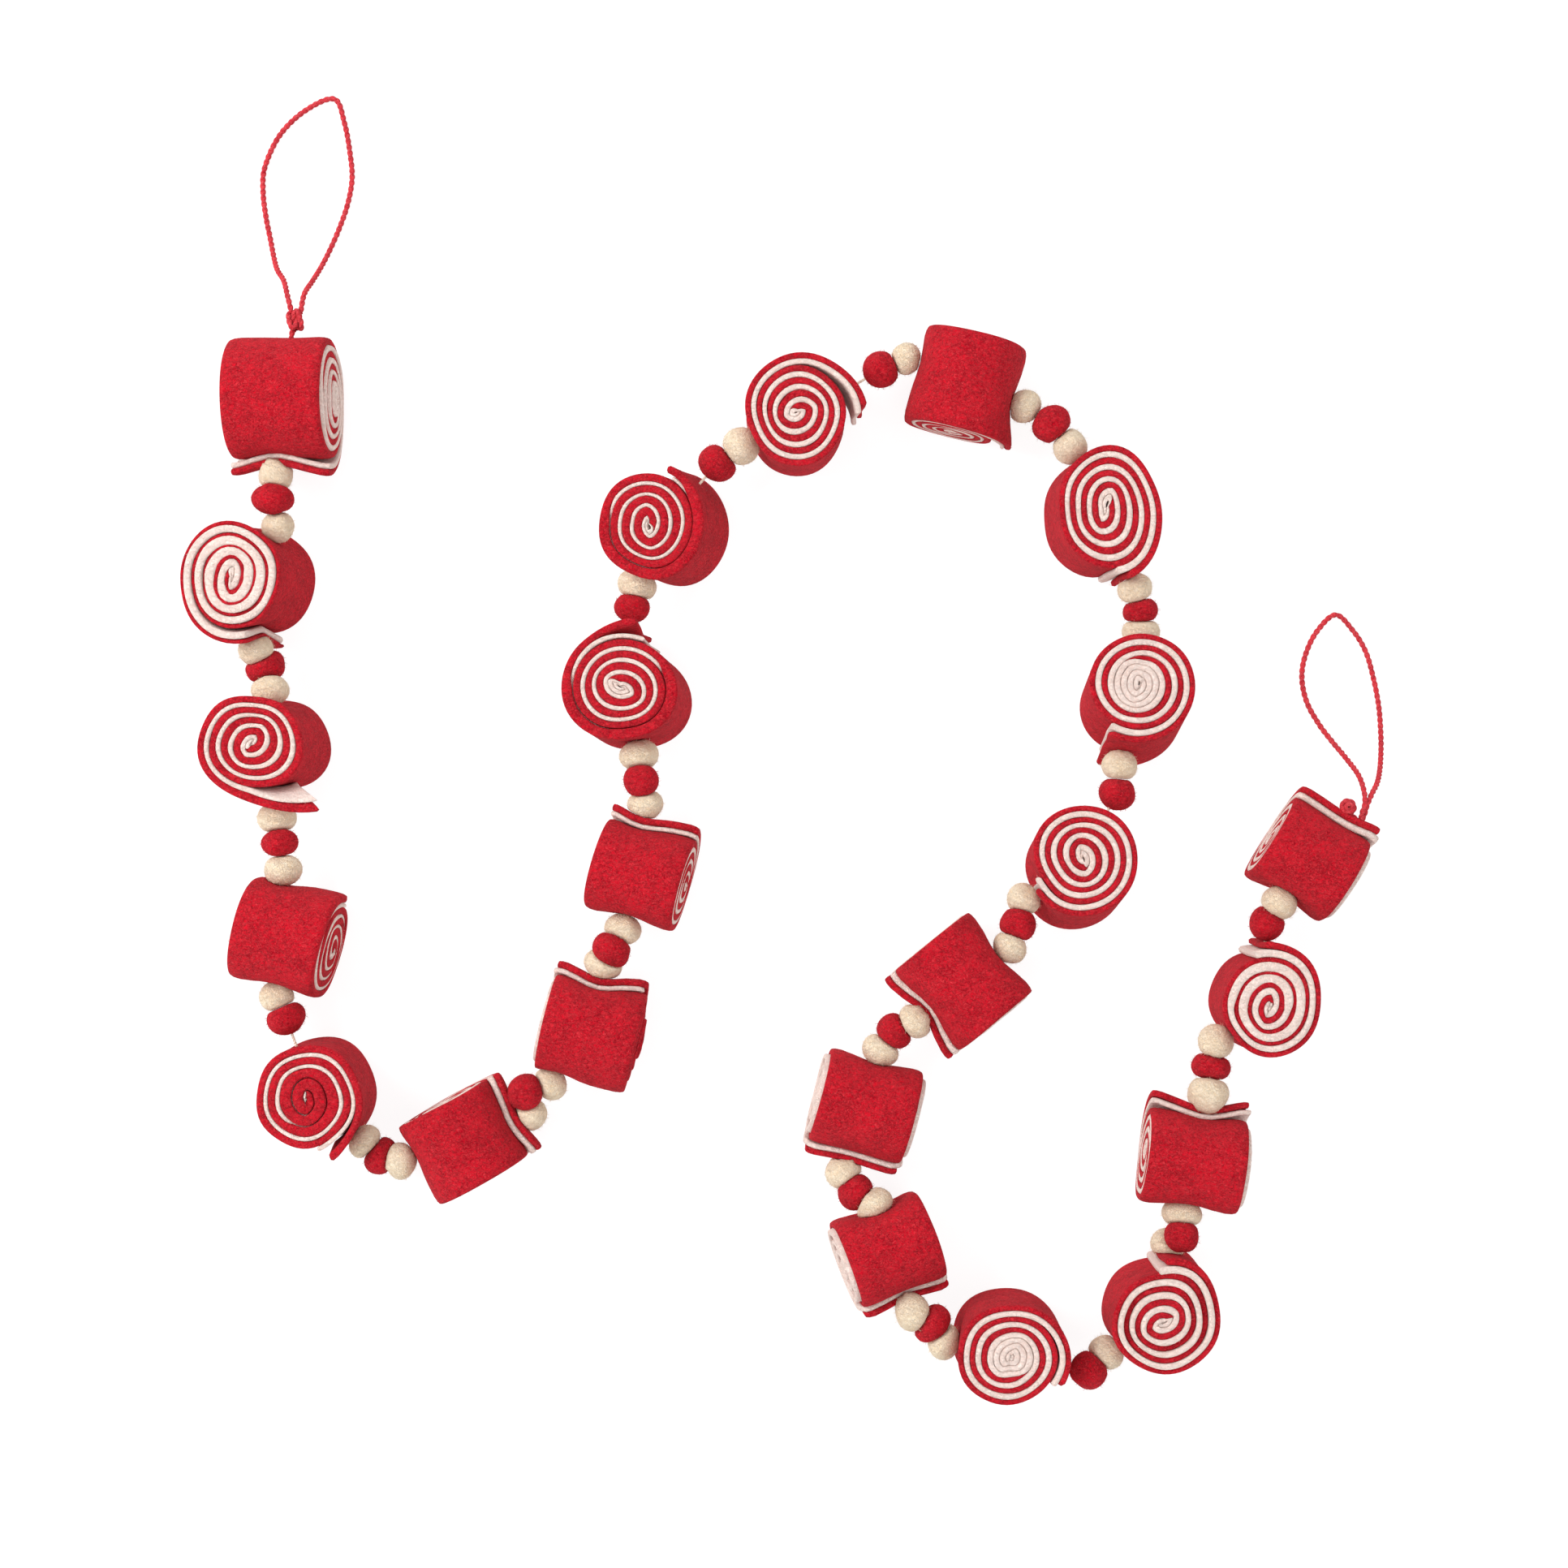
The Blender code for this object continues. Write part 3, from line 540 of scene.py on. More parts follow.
# %% Looks of each roll
fields = "red inner white_at red_at lift low middle sunk sunk_in thick slit peel wide shut bump bulge dent slant over"
Winding = namedtuple("Winding", fields, defaults=(*[(0, 0)] * 4, 0, 1, 0, 0))
WINDINGS = (
    Winding(0.54, 4.2, 0, 0, 3.5, 2.8, 0, -0.1, -0.1, 1.15, 20, wide=(0.9, 0), bulge=2.5, dent=0.6, over=1),
    Winding(0.38, 4.5, 3, 3.5, 2, 2, 0.3, 1.4, 0.3, 1, 80, peel=(0.5, 0.5), shut=(1.35, 3.3)),
    Winding(0.6, 4.3, -1.5, -0.5, 14, 0.5, 0.1, 0.4, 0.1, 1.05, 60, peel=(1.5, 0), bump=(2.4, -50), dent=3, slant=10),
    Winding(0.66, 4.4, 0, 0, 0.3, 0.3, 0.3, 0, 0, 1, 40, bulge=1.6),
    Winding(0.64, 4.45, -6, -2, 0.6, 0.6, 0.4, 0.2, 0.1, 1.15, 90, peel=(3, 1.5), shut=(1.75, 4.15)),
    Winding(0.5, 3.9, 0, 0, 2.5, 1.2, 0.3, 0.2, 0.1, 1.15, 0, dent=0.65),
    Winding(0.56, 3.9, 0, 0, 0.8, 1.2, 0.3, -0.4, -1.5, 1.1, 90, wide=(-2.5, 1.2), bulge=3),
    Winding(0.58, 4.3, 0, 0, 0.8, 2, 0.3, 0, 0, 1.1, 90, bulge=1),
    Winding(0.62, 4.2, -3, 2, 0.7, 0.7, 0.4, 0.3, 0.1, 1, -30, peel=(5.5, 2.5), shut=(0.2, 0.95)),
    Winding(0.68, 4.3, 3, -0.8, 0.2, 0.2, 0.5, 0.2, 0.1, 1, 95, shut=(0, 0.8)),
    Winding(0.54, 4.4, -2.4, 0.4, 4.2, 3.2, 0.7, 0.4, 0.1, 1.1, 20),
    Winding(0.64, 4.2, 0, 0, 7, 1, 0.3, 0, 0, 1, 20),
    Winding(0.52, 4.4, 0.8, 5, 0.4, 0.4, 0.4, 0.4, 0.1, 1.1, 70, bump=(3.4, -52)),
    Winding(0.5, 2.7, -1.8, 0, 0.8, 0.5, 0.4, 0.6, 0.2, 1.1, 70, peel=(0.5, 3)),
    Winding(0.5, 4.3, -1.8, 2.6, 0.5, 0.5, 0.4, 0.4, 0.1, 1, 105, peel=(0.5, 0)),
    Winding(0.5, 3.9, 0, 0, 1.4, 1.2, 0, 0.2, 0.1, 1.3, 45, wide=(0.3, 0.3), dent=0.75),
    Winding(0.5, 3.9, 0, 0, 0.4, 0.8, 0, 0, 0, 1.05, 45, wide=(1.8, 1.8), dent=0.7, over=1),
    Winding(0.5, 3.9, 0, 0, 0.6, 0.6, 0, 0, 0, 1.1, 45, wide=(0.5, 2), dent=0.75, over=1),
    Winding(0.5, 3, -0.8, 1, 1, 0.8, 0.85, 0.5, 0.2, 1.1, 60),
    Winding(0.5, 4.2, -1.8, 1, 0.3, 0.3, 0.4, 2.2, 0.3, 1.1, 30, peel=(0.5, 0), bump=(3.6, 58)),
    Winding(0.54, 3.9, 0, 0, 3.6, 3, 0, 0, 0, 1.1, 90, peel=(0.5, 0.5), wide=(1.8, 0), bulge=0.5, dent=1.3, over=1),
    Winding(0.48, 4.3, 2, 6.5, 1.2, 0.4, 0.4, 1.3, 0.3, 1, 75, peel=(0.8, 0.5), shut=(0.75, 2.4), bump=(3, 66)),
    Winding(0.5, 4.2, 0, 0, 2.4, 0.2, 0.3, -0.1, -0.4, 1, 45, wide=(2, 0), bump=(2.4, 4), bulge=0.5, dent=2),
)

# %% [markdown]
# ## The shape of a roll
# Seen along its axis, a roll is a spiral: with each turn the radius shrinks by one red and one white layer.
# The first part of a turn stands loose, each bead presses a dent into the side, and an oval roll gets rounder
# towards its core. One formula gives the radius for any place along the strip and across it, so both strips and
# the beads beside them share the same surface and don't cut through each other. A lying candy is also pressed
# flat where it rests on the table.

# %% Shape of a roll
Roll = namedtuple("Roll", "candy ports winding waves")
OVAL_TURNS = 4  # over which the waves and bumps of the outside fade out
OVAL_FADE = 0.7  # share of the oval shape that fades out too, one turn further in
WAVE = 0.2
BUMP_ANGLE = 0.75
EDGE_ROUNDING = 1.1  # of the faces of a lying candy
SETTLED = 8  # height up to which a lying candy gives way to the table
SLIT_FROM, SLIT_FADE = 2, 14  # how far from the core the slit begins to fade, and over what distance
SLIT_HALF = 1.3
SLIT_PRESS = 0.75
SLIT_STRETCH = 0.18


def ramp(value):
    return np.clip(value, 0, 1)


def smooth(share):
    return share * share * (3 - 2 * share)


def stands(candy):
    return candy.rise > 45


def candy_axes(candy):
    """Two directions across the section of a candy, and the one along its axis."""
    heading, rise = radians(candy.heading), radians(candy.rise)
    along = np.array((cos(rise) * cos(heading), cos(rise) * sin(heading), sin(rise)))
    if stands(candy):
        return np.array((1.0, 0, 0)), np.array((0, 1.0, 0)), along / along[2]
    across = np.array((-sin(heading), cos(heading), 0.0))
    return across, np.cross(along, across), along


def oval_radius(candy, angle):
    half_wide, half_tall = candy.wide / 2, candy.tall / 2
    return half_wide * half_tall / np.hypot(half_tall * np.cos(angle), half_wide * np.sin(angle))


def angle_at(candy, turns):
    """The direction, round the candy's middle, of a place that many turns in from the cut end."""
    return radians(candy.end) + candy.turn * turns * TURN


def turns_at(candy, angle):
    """How many turns in from the cut end the outside is in that direction."""
    return (angle - radians(candy.end)) * candy.turn % TURN / TURN


def port(candy, near):
    """Where a bead or knot presses into a candy: the angle round it, the place along it, and the depth."""
    across, _, along = candy_axes(candy)
    x, y, reach = near
    away = np.array((x - candy.x, y - candy.y, 0.0))
    if stands(candy):
        angle, place, distance = atan2(away[1], away[0]), 0.0, np.hypot(*away[:2])
    else:
        angle = 0.0 if away.dot(across) > 0 else pi
        place, distance = away.dot(along), abs(away.dot(across))
    depth = oval_radius(candy, angle) + PITCH / 2 - PITCH * turns_at(candy, angle) - (distance - reach)
    return angle, place, min(max(depth, DENT_LEAST), DENT_MOST[stands(candy)])


def wander(dice, size, low, high):
    """A smooth random function of turns, of about that size, with low to high waves in a turn."""
    waves = [(dice.uniform(low, high), dice.uniform(0, TURN), dice.uniform(0.4, 1)) for _ in range(7)]

    def at(turns):
        return size * sum(part * np.sin(TURN * often * turns + begin) for often, begin, part in waves) / 2.2

    return at


def off_by(angle, other):
    """How far an angle is from another, either way round."""
    return (angle - other + pi) % TURN - pi


def side_radius(roll, turns, place):
    """The outside of the roll, turns in from the cut end and place along the axis, before the layers shrink it."""
    candy, winding = roll.candy, roll.winding
    angle = angle_at(candy, turns)
    mean = (candy.wide + candy.tall) / 4
    oval = 1 - OVAL_FADE * ramp((turns - 1) / OVAL_TURNS)
    radius = mean + (oval_radius(candy, angle) - mean) * oval + PITCH / 2
    outer = ramp(1 - turns / OVAL_TURNS)
    for often, begin in roll.waves:
        radius = radius + WAVE * outer * np.sin(often * angle + begin)
    bump, bump_at = winding.bump
    radius = radius + bump * np.exp(-((off_by(angle, radians(bump_at)) / BUMP_ANGLE) ** 2)) * outer
    # A corner that stands off by more than 5 mm bends away more abruptly.
    abrupt = 1.6 + 0.25 * max(0, winding.lift - 5, winding.low - 5)
    loose = np.clip(1 - turns / LOOSE, 0, None) ** abrupt
    corner = np.where(place > 0, winding.lift, winding.low)
    at_string = winding.middle * (winding.lift + winding.low) / 2
    radius = radius + loose * (at_string + (corner - at_string) * (2 * place / candy.strip) ** 2)
    if not stands(candy):
        radius = radius - EDGE_ROUNDING * ramp(np.abs(2 * place / candy.strip) / 0.2 - 4) ** 2
    inner_turns = np.clip(turns - 1 - LOOSE, 0, None)
    for port_angle, port_place, depth in roll.ports:
        off_place = (place - port_place) / DENT_LENGTH
        near = np.exp(-((off_by(angle, port_angle) / DENT_ANGLE) ** 2))
        press = depth * near * (0.3 + 0.7 * np.exp(-(off_place**2)))
        radius = radius - press * np.clip(1 - inner_turns / DENT_TURNS, 0, None)
    return radius


def candy_middle(roll):
    """The middle of a candy at rest on the table."""
    candy = roll.candy
    if stands(candy):
        return np.array((candy.x, candy.y, candy.strip / 2))
    across, up, along = candy_axes(candy)
    turns, places = np.meshgrid(np.arange(16) / 16, (-candy.strip / 2, 0, candy.strip / 2))
    angle = angle_at(candy, turns)
    radius = side_radius(roll, turns, places) - PITCH * turns
    heights = across[2] * radius * np.cos(angle) + up[2] * radius * np.sin(angle) + along[2] * places
    return np.array((candy.x, candy.y, -heights.min() - FLAT_SPOT))


def settle(points, candy):
    """Presses the underside of a lying candy flat on the table, without its layers crossing."""
    height = points[..., 2]
    if not stands(candy):
        height = np.where(height < SETTLED, (height + FLAT_SPOT) * SETTLED / (SETTLED + FLAT_SPOT), height)
    points[..., 2] = np.maximum(height, 0.05)
    return points


def squeeze(u, v, slit):
    """Presses the hole in the middle of a roll into a slit, by less and less from the middle outwards."""
    slit = radians(slit)
    reach = np.hypot(u, v)
    along, across = u * cos(slit) + v * sin(slit), v * cos(slit) - u * sin(slit)
    fade = smooth(ramp((SLIT_FROM + SLIT_FADE - reach) / SLIT_FADE))
    across = across - SLIT_PRESS * fade * SLIT_HALF * np.tanh(across / SLIT_HALF)
    along = along * (1 + SLIT_STRETCH * fade)
    return along * cos(slit) - across * sin(slit), along * sin(slit) + across * cos(slit)


print("squeeze moves a point 3 mm out by", round(3 - float(squeeze(np.array(0.0), np.array(3.0), 0)[1]), 2), "mm")

# %% [markdown]
# ## Felt strips
# Each candy is two strips rolled up together. A cloth simulation could roll them, but it wouldn't stop in the
# wound shape of the photo. So a strip is swept: at each step along the spiral it has a section, which is thin
# across the layers and as wide as the strip, with rounded edges. Soft felt fills what room there is, so the two
# strips share the space up to the next turn, and the red one thins out where it ends in the core. The edges
# rise and sink a little along the strip, as hand-cut felt does, and that gives the dark lines on each face.

# %% Felt strips
TAPER = 0.16  # turns over which the red strip thins out
RED_LIP = 0.9  # how far the edges close over the other strip where they are shut
WHITE_LIP = 0.55
SHUT_STEP = 0.1
UNDER_RED = 2.6  # how deep the white edge lies there
RED_LEAST = 0.12
THICK_TURNS = 0.08
PEEL_TURNS = 0.16
SLANT_TURNS = 0.1
RAGGED_TURNS = 0.03  # over which a cut end's rags and round corners fade
RAGGED = 0.0025  # turns
ROUND_TURNS = 0.006  # over which each end of a strip gets thinner
INNER_FROM, INNER_FADE = 3.1, 0.8  # turns from which only `sunk_in` holds, and over which `sunk` fades
GAP = 0.1  # left free between the layers
EDGE = 0.46  # how far the rounded edge of a strip stands out, and half way round it
EDGE_HALF = 0.34
EDGE_SPARE = 0.3  # kept free for the waves of an edge
STEP_ALONG = 2.3
# For a candy that stands and one that lies: where across the strip its section has points, how far the corners
# of its cut end are rounded, how far its upper and lower edges rise and sink, and how many waves a turn has.
Edges = namedtuple("Edges", "shares corner wave_up wave_low often")
STANDING = Edges((-1, -0.93, 0, 0.5, 0.9, 1), 0.5, 0.3, 0.06, (2, 7))
LYING = Edges((-1, -0.93, -0.8, -0.5, -0.25, 0, 0.25, 0.5, 0.8, 0.93, 1), 1.7, 0.2, 0.2, (1, 3))


def closed_up(turns, inner):
    """How far the red strip has thinned out, from 0 to 1, and how many turns of white felt alone lie outside."""
    beyond = np.clip(np.floor(turns - inner + TAPER), 0, None)
    return smooth(ramp((turns - beyond - inner + TAPER) / TAPER)), beyond


def steps_along(start, end):
    """Turns at which a strip has a section: closer together near its ends, and STEP_ALONG apart elsewhere."""
    steps = [start, start + ROUND_TURNS / 3, start + ROUND_TURNS]
    while steps[-1] < end - 0.02:
        radius = max(1.5, 24 - PITCH * steps[-1])
        steps.append(steps[-1] + min(1 / 24, STEP_ALONG / (TURN * radius)))
    return np.array([*steps, end - ROUND_TURNS, end])


def section_loop(shares):
    """The section's points as (share of the thickness, share of the width, millimetres past the edge)."""
    up = [(0.0, share, 0.0) for share in shares]
    down = [(1.0, share, 0.0) for share in shares[::-1]]
    top = [(0.16, 1.0, EDGE_HALF), (0.5, 1.0, EDGE), (0.84, 1.0, EDGE_HALF)]
    under = [(depth, -1.0, -past) for depth, _, past in top[::-1]]
    return np.array(up + top + down + under)


def cap_faces(sides, first, forward):
    """Closes one end of a strip, whose section has that many points on each side."""
    partner = [2 * sides + 2 - one for one in range(sides)]
    caps = [[one, one + 1, partner[one + 1], partner[one]] for one in range(sides - 1)]
    caps.append([sides - 1 + step for step in range(5)])
    caps.append([*[2 * sides + 2 + step for step in range(4)], 0])
    return [[first + corner for corner in (cap if forward else cap[::-1])] for cap in caps]


def room(roll, turned, surface, place):
    """How thick a turn may be, in how many pitches, so that it fills the space up to the next turn."""
    filling = np.clip(1 + (surface - side_radius(roll, turned + 1, place)) / PITCH, 0.3, 1.4)
    flap = np.clip(filling, 1, 1 + 0.12 * roll.winding.bump[0])
    return flap + (filling - flap) * ramp((turned - LOOSE) / 0.1 + 1)


def white_depth(roll, turned, tight):
    """How far inside the roll's surface the white strip's outer side lies, and how thick the strip is."""
    red = roll.winding.red
    thin, beyond = closed_up(turned, roll.winding.inner)
    first = turned - beyond
    single = ramp((turned - roll.winding.inner) / TAPER + 1)
    outer = PITCH * first + red * PITCH * (1 - thin) * (1 + (tight - 1) * (1 - single)) + beyond * (1 - red) * PITCH
    return outer, (1 - red) * PITCH * (1 + (tight - 1) * (1 + single * red / (1 - red)))


def core_end(roll):
    """The turns after which the white strip has closed the core."""
    turns = np.linspace(2, 8.5, 1301)
    outer, thickness = white_depth(roll, turns, 1.0)
    return float(turns[np.argmax(side_radius(roll, turns, 0.0) - outer < 0.2 * thickness)])


def wound_strip(roll, layer, dice):
    """The points (section by section) and faces of one strip of a candy, and the turn of each section."""
    candy, winding = roll.candy, roll.winding
    round_it = pi * (candy.wide + candy.tall) / 2
    start = (winding.red_at if layer == "red" else winding.white_at) / round_it
    end = winding.inner if layer == "red" else core_end(roll)
    edges = STANDING if stands(candy) else LYING
    sides = len(edges.shares)
    loop = section_loop(edges.shares)
    turns = steps_along(start, end)[:, None]
    depth, share, past = loop[None, :, 0], loop[None, :, 1], loop[None, :, 2]
    # The two edges of the strip, which rise, sink and close up.
    half = candy.strip / 2 - EDGE_SPARE
    top = half + wander(dice, edges.wave_up, *edges.often)(turns)
    low = -half + wander(dice, edges.wave_low, *edges.often)(turns)
    shut = ramp((turns - winding.shut[0]) / SHUT_STEP) * ramp((winding.shut[1] - turns) / SHUT_STEP)
    lip = ramp(2 * shut - 1) * ramp((share - 0.85) / 0.15)
    white_closes = winding.sunk > 1
    if layer == "red":
        outside = ramp((INNER_FROM - turns) / INNER_FADE)
        below = winding.sunk_in + (winding.sunk - winding.sunk_in) * outside
        top = top - below * (0.8 + 0.2 * wander(dice, 1.0, 0.8, 3)(turns))
        if not white_closes:
            depth = depth * (1 + RED_LIP * (1 / winding.red - 1) * lip)
    else:
        wider = 0.3 + 0.7 * ramp((turns - start) / 0.04)
        top, low = top + winding.wide[0] * wider, low - winding.wide[1] * wider
        if white_closes:
            depth = 0.5 + (depth - 0.5) * (1 + WHITE_LIP * winding.red / (1 - winding.red) * lip)
        else:
            top = top - UNDER_RED * shut
    place = (top + low) / 2 + share * ((top - low) / 2 - EDGE) + past
    # The cut end, with round corners, a ragged edge and a slant.
    near_end = ramp(1 - (turns - start) / RAGGED_TURNS)
    rounded = edges.corner / round_it
    ragged = wander(dice, RAGGED, 1.5, 5)(share) + rounded * ramp((np.abs(share) - 0.75) / 0.25) ** 2
    slanted = winding.slant / round_it * (1 - share) / 2 * ramp(1 - (turns - start) / SLANT_TURNS)
    turned = turns + ragged * near_end + slanted
    # How deep in the roll the layer lies, and how thick it is.
    surface = side_radius(roll, turned, place)
    tight = room(roll, turned, surface, place)
    at_end = 1 + (winding.thick - 1) * ramp(1 - turned / THICK_TURNS)
    offset, thickness = white_depth(roll, turned, tight)
    if layer == "red":
        thin, _ = closed_up(turned, winding.inner)
        offset, thickness = PITCH * turned, winding.red * PITCH * tight * np.maximum(1 - thin, RED_LEAST)
    thickness = thickness * at_end
    if layer == "white":
        offset = offset + winding.red * PITCH * (at_end - 1)
    slack = np.minimum(GAP + GAP / 2 * (1 + wander(dice, 0.8, 1, 5)(turned)), thickness * 0.3)
    full = np.minimum(1, 0.55 + np.minimum(turns - start, end - turns) / ROUND_TURNS * 0.45)
    depth = 0.5 + (depth - 0.5) * full
    radius = surface - offset - slack / 2 - depth * (thickness - slack)
    if layer == "red":
        peel = np.where(place > 0, *winding.peel) * (0.4 + 0.6 * (2 * place / candy.strip) ** 2)
        radius = radius + peel * ramp(1 - turned / PEEL_TURNS) ** 1.8
    radius = np.maximum(radius, 0.06)
    # From the roll's own directions to the plan's.
    place = place + winding.bulge * (turned / 5)
    angle = angle_at(candy, turned)
    across, up, along = candy_axes(candy)
    u, v = squeeze(radius * np.cos(angle), radius * np.sin(angle), winding.slit)
    points = candy_middle(roll) + u[..., None] * across + v[..., None] * up + place[..., None] * along
    rows, columns = u.shape
    faces = grid_faces(rows, columns).tolist()
    faces += cap_faces(sides, 0, True) + cap_faces(sides, (rows - 1) * columns, False)
    return settle(points, candy), faces, turns[:, 0]


dice = random.Random(23)
coats = []
rolls = []
for number, (candy, near, winding) in enumerate(zip(CANDIES, neighbours, WINDINGS), 1):
    waves = [(dice.choice((2, 3, 4, 5)), dice.uniform(0, TURN)) for _ in range(3)]
    ports = [port(candy, spot) for spot in near]
    pressed = [(angle, place, depth * more) for (angle, place, depth), more in zip(ports, (1, winding.dent))]
    rolls.append(Roll(candy, pressed, winding, waves))
    node = f"candy_{number:02d}"
    for layer in ("red", "white"):
        points, faces, turns = wound_strip(rolls[-1], layer, dice)
        strip = add_piece(node, layer, points.reshape(-1, 3), faces, layer + "_felt")
        candy.strip * MM
        coats.append((node, layer, candy.turn, points, turns))
print("felt strips:", len(coats))

# %% [markdown]
# ## Felt balls
# Three small balls sit between two candies, natural, red and natural, and the tight string squeezes them into
# fat discs. A sphere that is only scaled would look like a sweet out of a mould. So each ball has its own
# lumps, its flat sides swell a little less than a sphere's, and where it presses on a candy its points are moved
# out to that candy's surface, so that the two fit each other. Where the string runs over the cut end of a lying
# candy, the ball beside it swells out over that end.

# %% Felt balls
OVER_EDGE = 2.6  # how far a ball reaches over a cut end, and how far it rises there
ABOVE_EDGE = 1.5
OVER_ANGLE = 0.4  # between the cut end and the string, at most
CLEAR = 0.25  # between a ball and a candy
RINGS = 16
ROUND_BALL = 28
LUMP = 0.012
POLE_SWELL = 0.4  # felt that the next ball or the candy presses in
SOFT_PRESS = 0.5


def keep_out(points, roll):
    """Moves points that lie in a candy out to its side."""
    candy = roll.candy
    across, up, along = candy_axes(candy)
    middle = candy_middle(roll)
    away = points - middle
    place = away[:, 2] if stands(candy) else away @ along / (along @ along)
    away = away - place[:, None] * along
    u, v = away @ across, away @ up
    turns = turns_at(candy, np.arctan2(v, u))
    wall = side_radius(roll, turns, place) - PITCH * turns + CLEAR
    reach = np.hypot(u, v)
    push = np.where((reach < wall) & (np.abs(place) < candy.strip / 2), wall / np.maximum(reach, 1e-6), 1.0)
    moved = middle + place[:, None] * along
    return moved + (u * push)[:, None] * across + (v * push)[:, None] * up


def felt_ball(middle, along, bead, dice):
    """A ball that is a little lumpy, and shorter along the string than across it."""
    side, up = square_to(along)
    polar = np.linspace(0, pi, RINGS + 2)[1:-1, None]
    around = (np.arange(ROUND_BALL) * TURN / ROUND_BALL)[None, :]
    lumps = np.ones((RINGS, ROUND_BALL))
    for _ in range(7):
        often, begin, tilt = dice.choice((2, 3, 4, 5)), dice.uniform(0, TURN), dice.uniform(1, 4)
        lumps = lumps + LUMP * np.sin(often * around + begin + tilt * polar)
    pole = bead.length / 2 + POLE_SWELL
    out = np.sin(polar) * lumps * bead.across / 2
    reach = np.cos(polar) * lumps * pole
    points = middle + reach[..., None] * along
    points = points + (out * np.cos(around))[..., None] * side + (out * np.sin(around))[..., None] * up
    faces = grid_faces(RINGS, ROUND_BALL).tolist()
    last = RINGS * ROUND_BALL
    for column in range(ROUND_BALL):
        onward = (column + 1) % ROUND_BALL
        faces.append([last, column, onward])
        faces.append([last + 1, last - ROUND_BALL + onward, last - ROUND_BALL + column])
    return np.vstack([points.reshape(-1, 3), middle + along * pole, middle - along * pole]), faces


def press_flat(points, middle, other, share):
    """Flattens a ball where the next one on the string presses on it, at that share of the way to it."""
    toward = unit(other - middle)
    limit = share * np.linalg.norm(other - middle) - 0.05
    reach = (points - middle) @ toward
    kept = -SOFT_PRESS * np.logaddexp(-reach / SOFT_PRESS, -limit / SOFT_PRESS)
    return points + (kept - reach)[:, None] * toward


def swell_over(points, middle, roll):
    """Lets a ball reach over the cut end of a lying candy's felt, if that is where the string pulls it."""
    candy = roll.candy
    toward = (candy_middle(roll) - middle) * (1, 1, 0)
    angle = 0.0 if toward @ candy_axes(candy)[0] < 0 else pi
    if stands(candy) or abs(off_by(radians(candy.end), angle)) > OVER_ANGLE:
        return points
    toward = unit(toward)
    reach = (points - middle) @ toward
    return points + OVER_EDGE * ramp(reach / reach.max())[:, None] * toward + (0, 0, ABOVE_EDGE)


def build_beads(node, row, before, after, dice):
    """Adds the balls between two candies, and gives them and the ends of each bare piece of thread."""
    ends = [candy_middle(before), candy_middle(after)]
    strung = [
        (tone, bead, np.array((bead.x, bead.y, ends[0][2] + (ends[1][2] - ends[0][2]) * share + bead.rise)))
        for tone, bead, share in zip(BEAD_COLOURS, row, (0.3, 0.5, 0.7))
        if bead
    ]
    path = [ends[0], *[middle for _, _, middle in strung], ends[1]]
    balls = {"natural": [], "red": []}
    for place, (tone, bead, middle) in enumerate(strung, 1):
        points, faces = felt_ball(middle, unit(path[place + 1] - path[place - 1]), bead, dice)
        for beside in (place - 1, place + 1):
            if 1 <= beside <= len(strung):
                share = bead.length / (bead.length + strung[beside - 1][1].length)
                points = press_flat(points, middle, path[beside], share)
        for roll, beside in ((before, 1), (after, len(strung))):
            if place == beside and roll.winding.over:
                points = swell_over(points, middle, roll)
            points = keep_out(points, roll)
        balls[tone].append((points, faces))
    for tone in balls:
        add_piece(node, tone, *join(balls[tone]), tone + "_felt")
    bare = []
    if row[0] is None:
        bare.append((path[0] + (path[1] - path[0]) * 0.5, path[1]))
    if row[-1] is None:
        bare.append((path[-2], path[-1] + (path[-2] - path[-1]) * 0.5))
    return balls, bare


dice = random.Random(7)
strung_between = []
for number, (row, before, after) in enumerate(zip(BEADS, rolls, rolls[1:]), 1):
    node = f"beads_{number:02d}_{number + 1:02d}"
    strung_between.append((node, *build_beads(node, row, before, after, dice)))
print("groups of felt balls:", len(strung_between))

# %% [markdown]
# ## Bare thread
# Beside some candies there is no ball, and a short piece of the stringing thread shows. It is too thin to be
# more than a line from far away, but it carries the candies, so it is made as twisted cord too.

# %% Bare thread
THREAD_THICK = 1.3
THREAD_LAY = 2.6
for node, _, bare in strung_between:
    for ends in bare:
        add_piece(node, "thread", *twisted(smooth_path(ends, 0.4), THREAD_THICK, THREAD_LAY), "thread")
print("thread pieces:", sum(len(bare) for _, _, bare in strung_between))

# %% [markdown]
# ## Loose fibres
# The edge of wool felt is never sharp: fine hairs stand off it and catch the light. A hair system would be lost
# in an export, so each hair is a sliver of mesh, two faces long, that starts on the felt and bends away. Only
# the felt that shows gets hairs, that is the outer turn and the upper edges.

# %% Loose fibres
HAIRS = {"red": 2200, "white": 600}
BALL_HAIRS = 330
HAIR_LENGTH = 1.6
HAIR_WIDTH = 0.1
OUTER_TURN = 1.05  # turns of the red strip whose outer side shows


def scatter(points, faces, count, dice):
    """Random places on four-sided faces, with the direction that each faces, evenly by area."""
    corners = points[faces]
    normals = np.cross(corners[:, 2] - corners[:, 0], corners[:, 3] - corners[:, 1])
    area = np.linalg.norm(normals, axis=1)
    chosen = dice.choice(len(faces), count, p=area / area.sum())
    u, v = dice.random((2, count, 1))
    low = corners[chosen, 0] * (1 - u) + corners[chosen, 1] * u
    high = corners[chosen, 3] * (1 - u) + corners[chosen, 2] * u
    return low * (1 - v) + high * v, unit(normals[chosen])


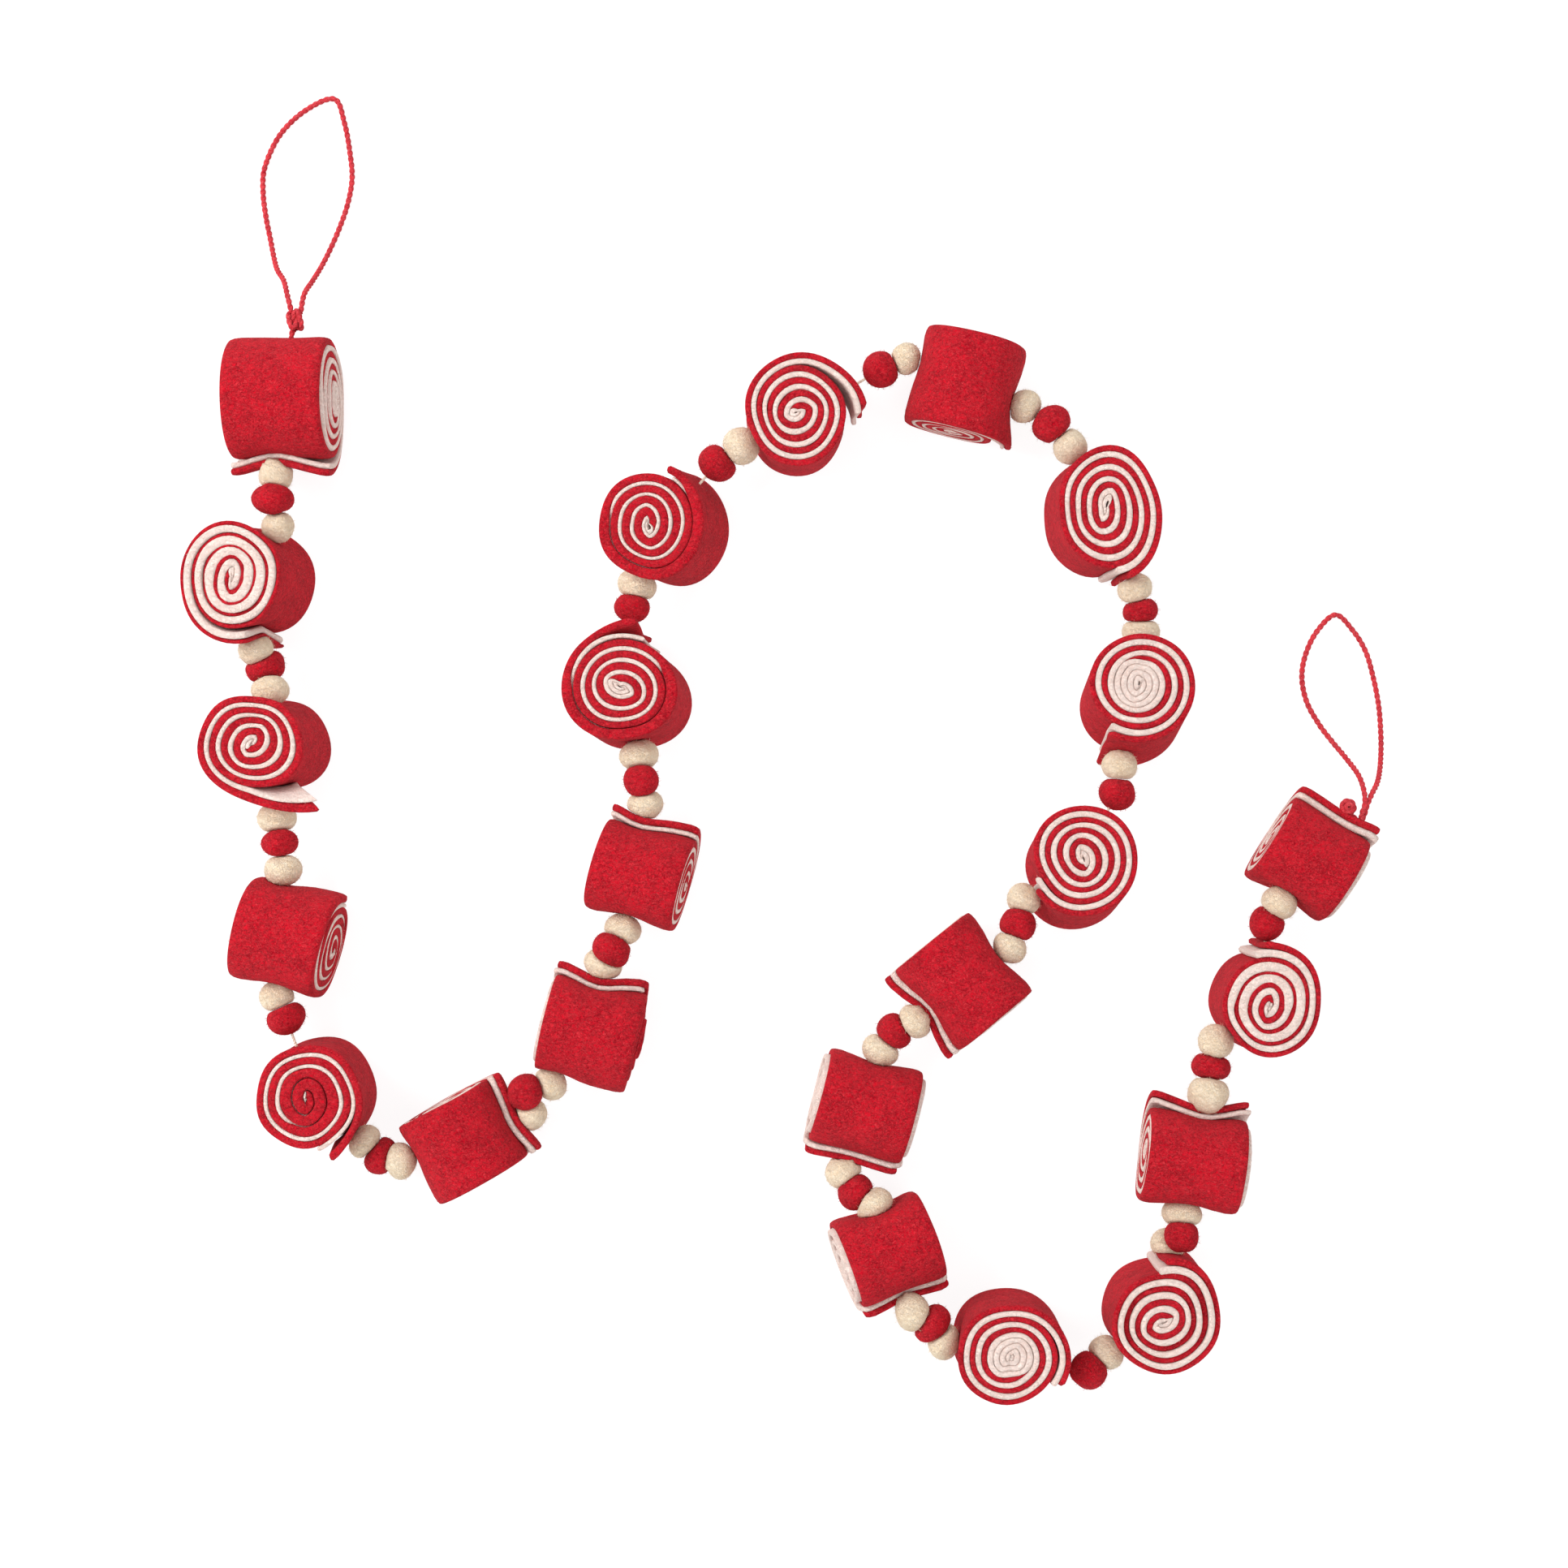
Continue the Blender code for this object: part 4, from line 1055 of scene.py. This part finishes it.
def hairs(spots, normals, dice):
    """Slivers of mesh that stand off a surface and bend."""
    count = len(spots)
    across = unit(np.cross(normals, dice.normal(size=(count, 3))))
    side = np.cross(normals, across)
    rise = dice.uniform(0.1, 0.8, (count, 1))
    reach = HAIR_LENGTH * dice.uniform(0.4, 1.4, (count, 1))
    first = unit(normals * rise + across * (1 - rise))
    second = unit(first + side * dice.uniform(-1.0, 1.0, (count, 1)) - normals * 0.4 * rise)
    middle = spots + first * reach / 2
    tip = middle + second * reach / 2
    half = HAIR_WIDTH / 2 * unit(np.cross(first, dice.normal(size=(count, 3))))
    root = spots - normals * 0.1
    points = np.stack([root - half, root + half, middle + half * 0.8, middle - half * 0.8, tip], axis=1)
    start = np.arange(count)[:, None] * 5
    faces = (start + (0, 1, 2, 3)).tolist() + (start + (3, 2, 4)).tolist()
    return points.reshape(-1, 3), faces


numbers = np.random.default_rng(5)
for node, layer, turn, points, turns in coats:
    rows, columns = points.shape[:2]
    sides = (columns - 6) // 2
    faces = grid_faces(rows, columns)[:, ::-turn]
    column, row = faces[:, 0] % columns, faces[:, 0] // columns
    on_top = (column >= sides - 1) & (column < sides + 3)
    outside = (column < sides - 1) & (turns[row] < OUTER_TURN)
    shown = on_top | outside if layer == "red" else on_top
    spots, normals = scatter(points.reshape(-1, 3), faces[shown], HAIRS[layer], numbers)
    fuzz, slivers = hairs(spots, normals, numbers)
    fuzz[:, 2] = np.maximum(fuzz[:, 2], 0.02)
    add_piece(node, layer + "_fuzz", fuzz, slivers, layer + "_felt", False)
for node, balls, _ in strung_between:
    for tone in balls:
        tufts = []
        for points, faces in balls[tone]:
            square = np.array([face for face in faces if len(face) == 4])
            spots, normals = scatter(points, square, BALL_HAIRS, numbers)
            normals = normals * np.sign(np.sum(normals * (spots - points.mean(axis=0)), axis=1, keepdims=True))
            tufts.append(hairs(spots, normals, numbers))
        add_piece(node, tone + "_fuzz", *join(tufts), tone + "_felt", False)
print("coats of loose fibres:", len(coats) + 2 * len(strung_between))

# %% [markdown]
# ## Table and light
# The photo was taken on a white ground with soft light that comes mostly from the left. A wide lamp above and
# to the left gives the candies their bright left sides, a weaker one fills in from the right, and a pale sky
# keeps the shadows open. The view transform is Standard, so that the reds stay as strong as in the photo.

# %% Table and light
TABLE_SHADER = {"Base Color": (0.22, 0.22, 0.22, 1), "Roughness": 0.9, "Specular IOR Level": 0.0}
TABLE_SHADER.update({"Emission Color": (1, 1, 1, 1), "Emission Strength": 0.86})
mesh = bpy.data.meshes.new("table_top")
mesh.from_pydata([(-3, -3, 0), (3, -3, 0), (3, 3, 0), (-3, 3, 0)], [], [(0, 1, 2, 3)])
mesh.materials.append(new_material("pale_table", TABLE_SHADER)[0])
add_object("table_top", mesh)


def soft_lamp(name, place, size, power):
    """A square lamp that faces the middle of the garland."""
    lamp = bpy.data.lights.new(name, "AREA")
    lamp.shape, lamp.size, lamp.energy = "SQUARE", size, power
    made = add_object(name, lamp)
    made.location = place
    made.rotation_euler = (-Vector(place)).to_track_quat("-Z", "Y").to_euler()


soft_lamp("window", (-1.4, 0.6, 1.4), 1.0, 30)
soft_lamp("fill", (1.2, -0.6, 1.9), 1.6, 8)
world = bpy.data.worlds.new("pale_sky")
world.use_nodes = True
sky = world.node_tree.nodes["Background"].inputs
sky["Color"].default_value = (1, 1, 1, 1)
sky["Strength"].default_value = 0.85
scene.world = world
scene.view_settings.view_transform = "Standard"
print("lamps and table done")
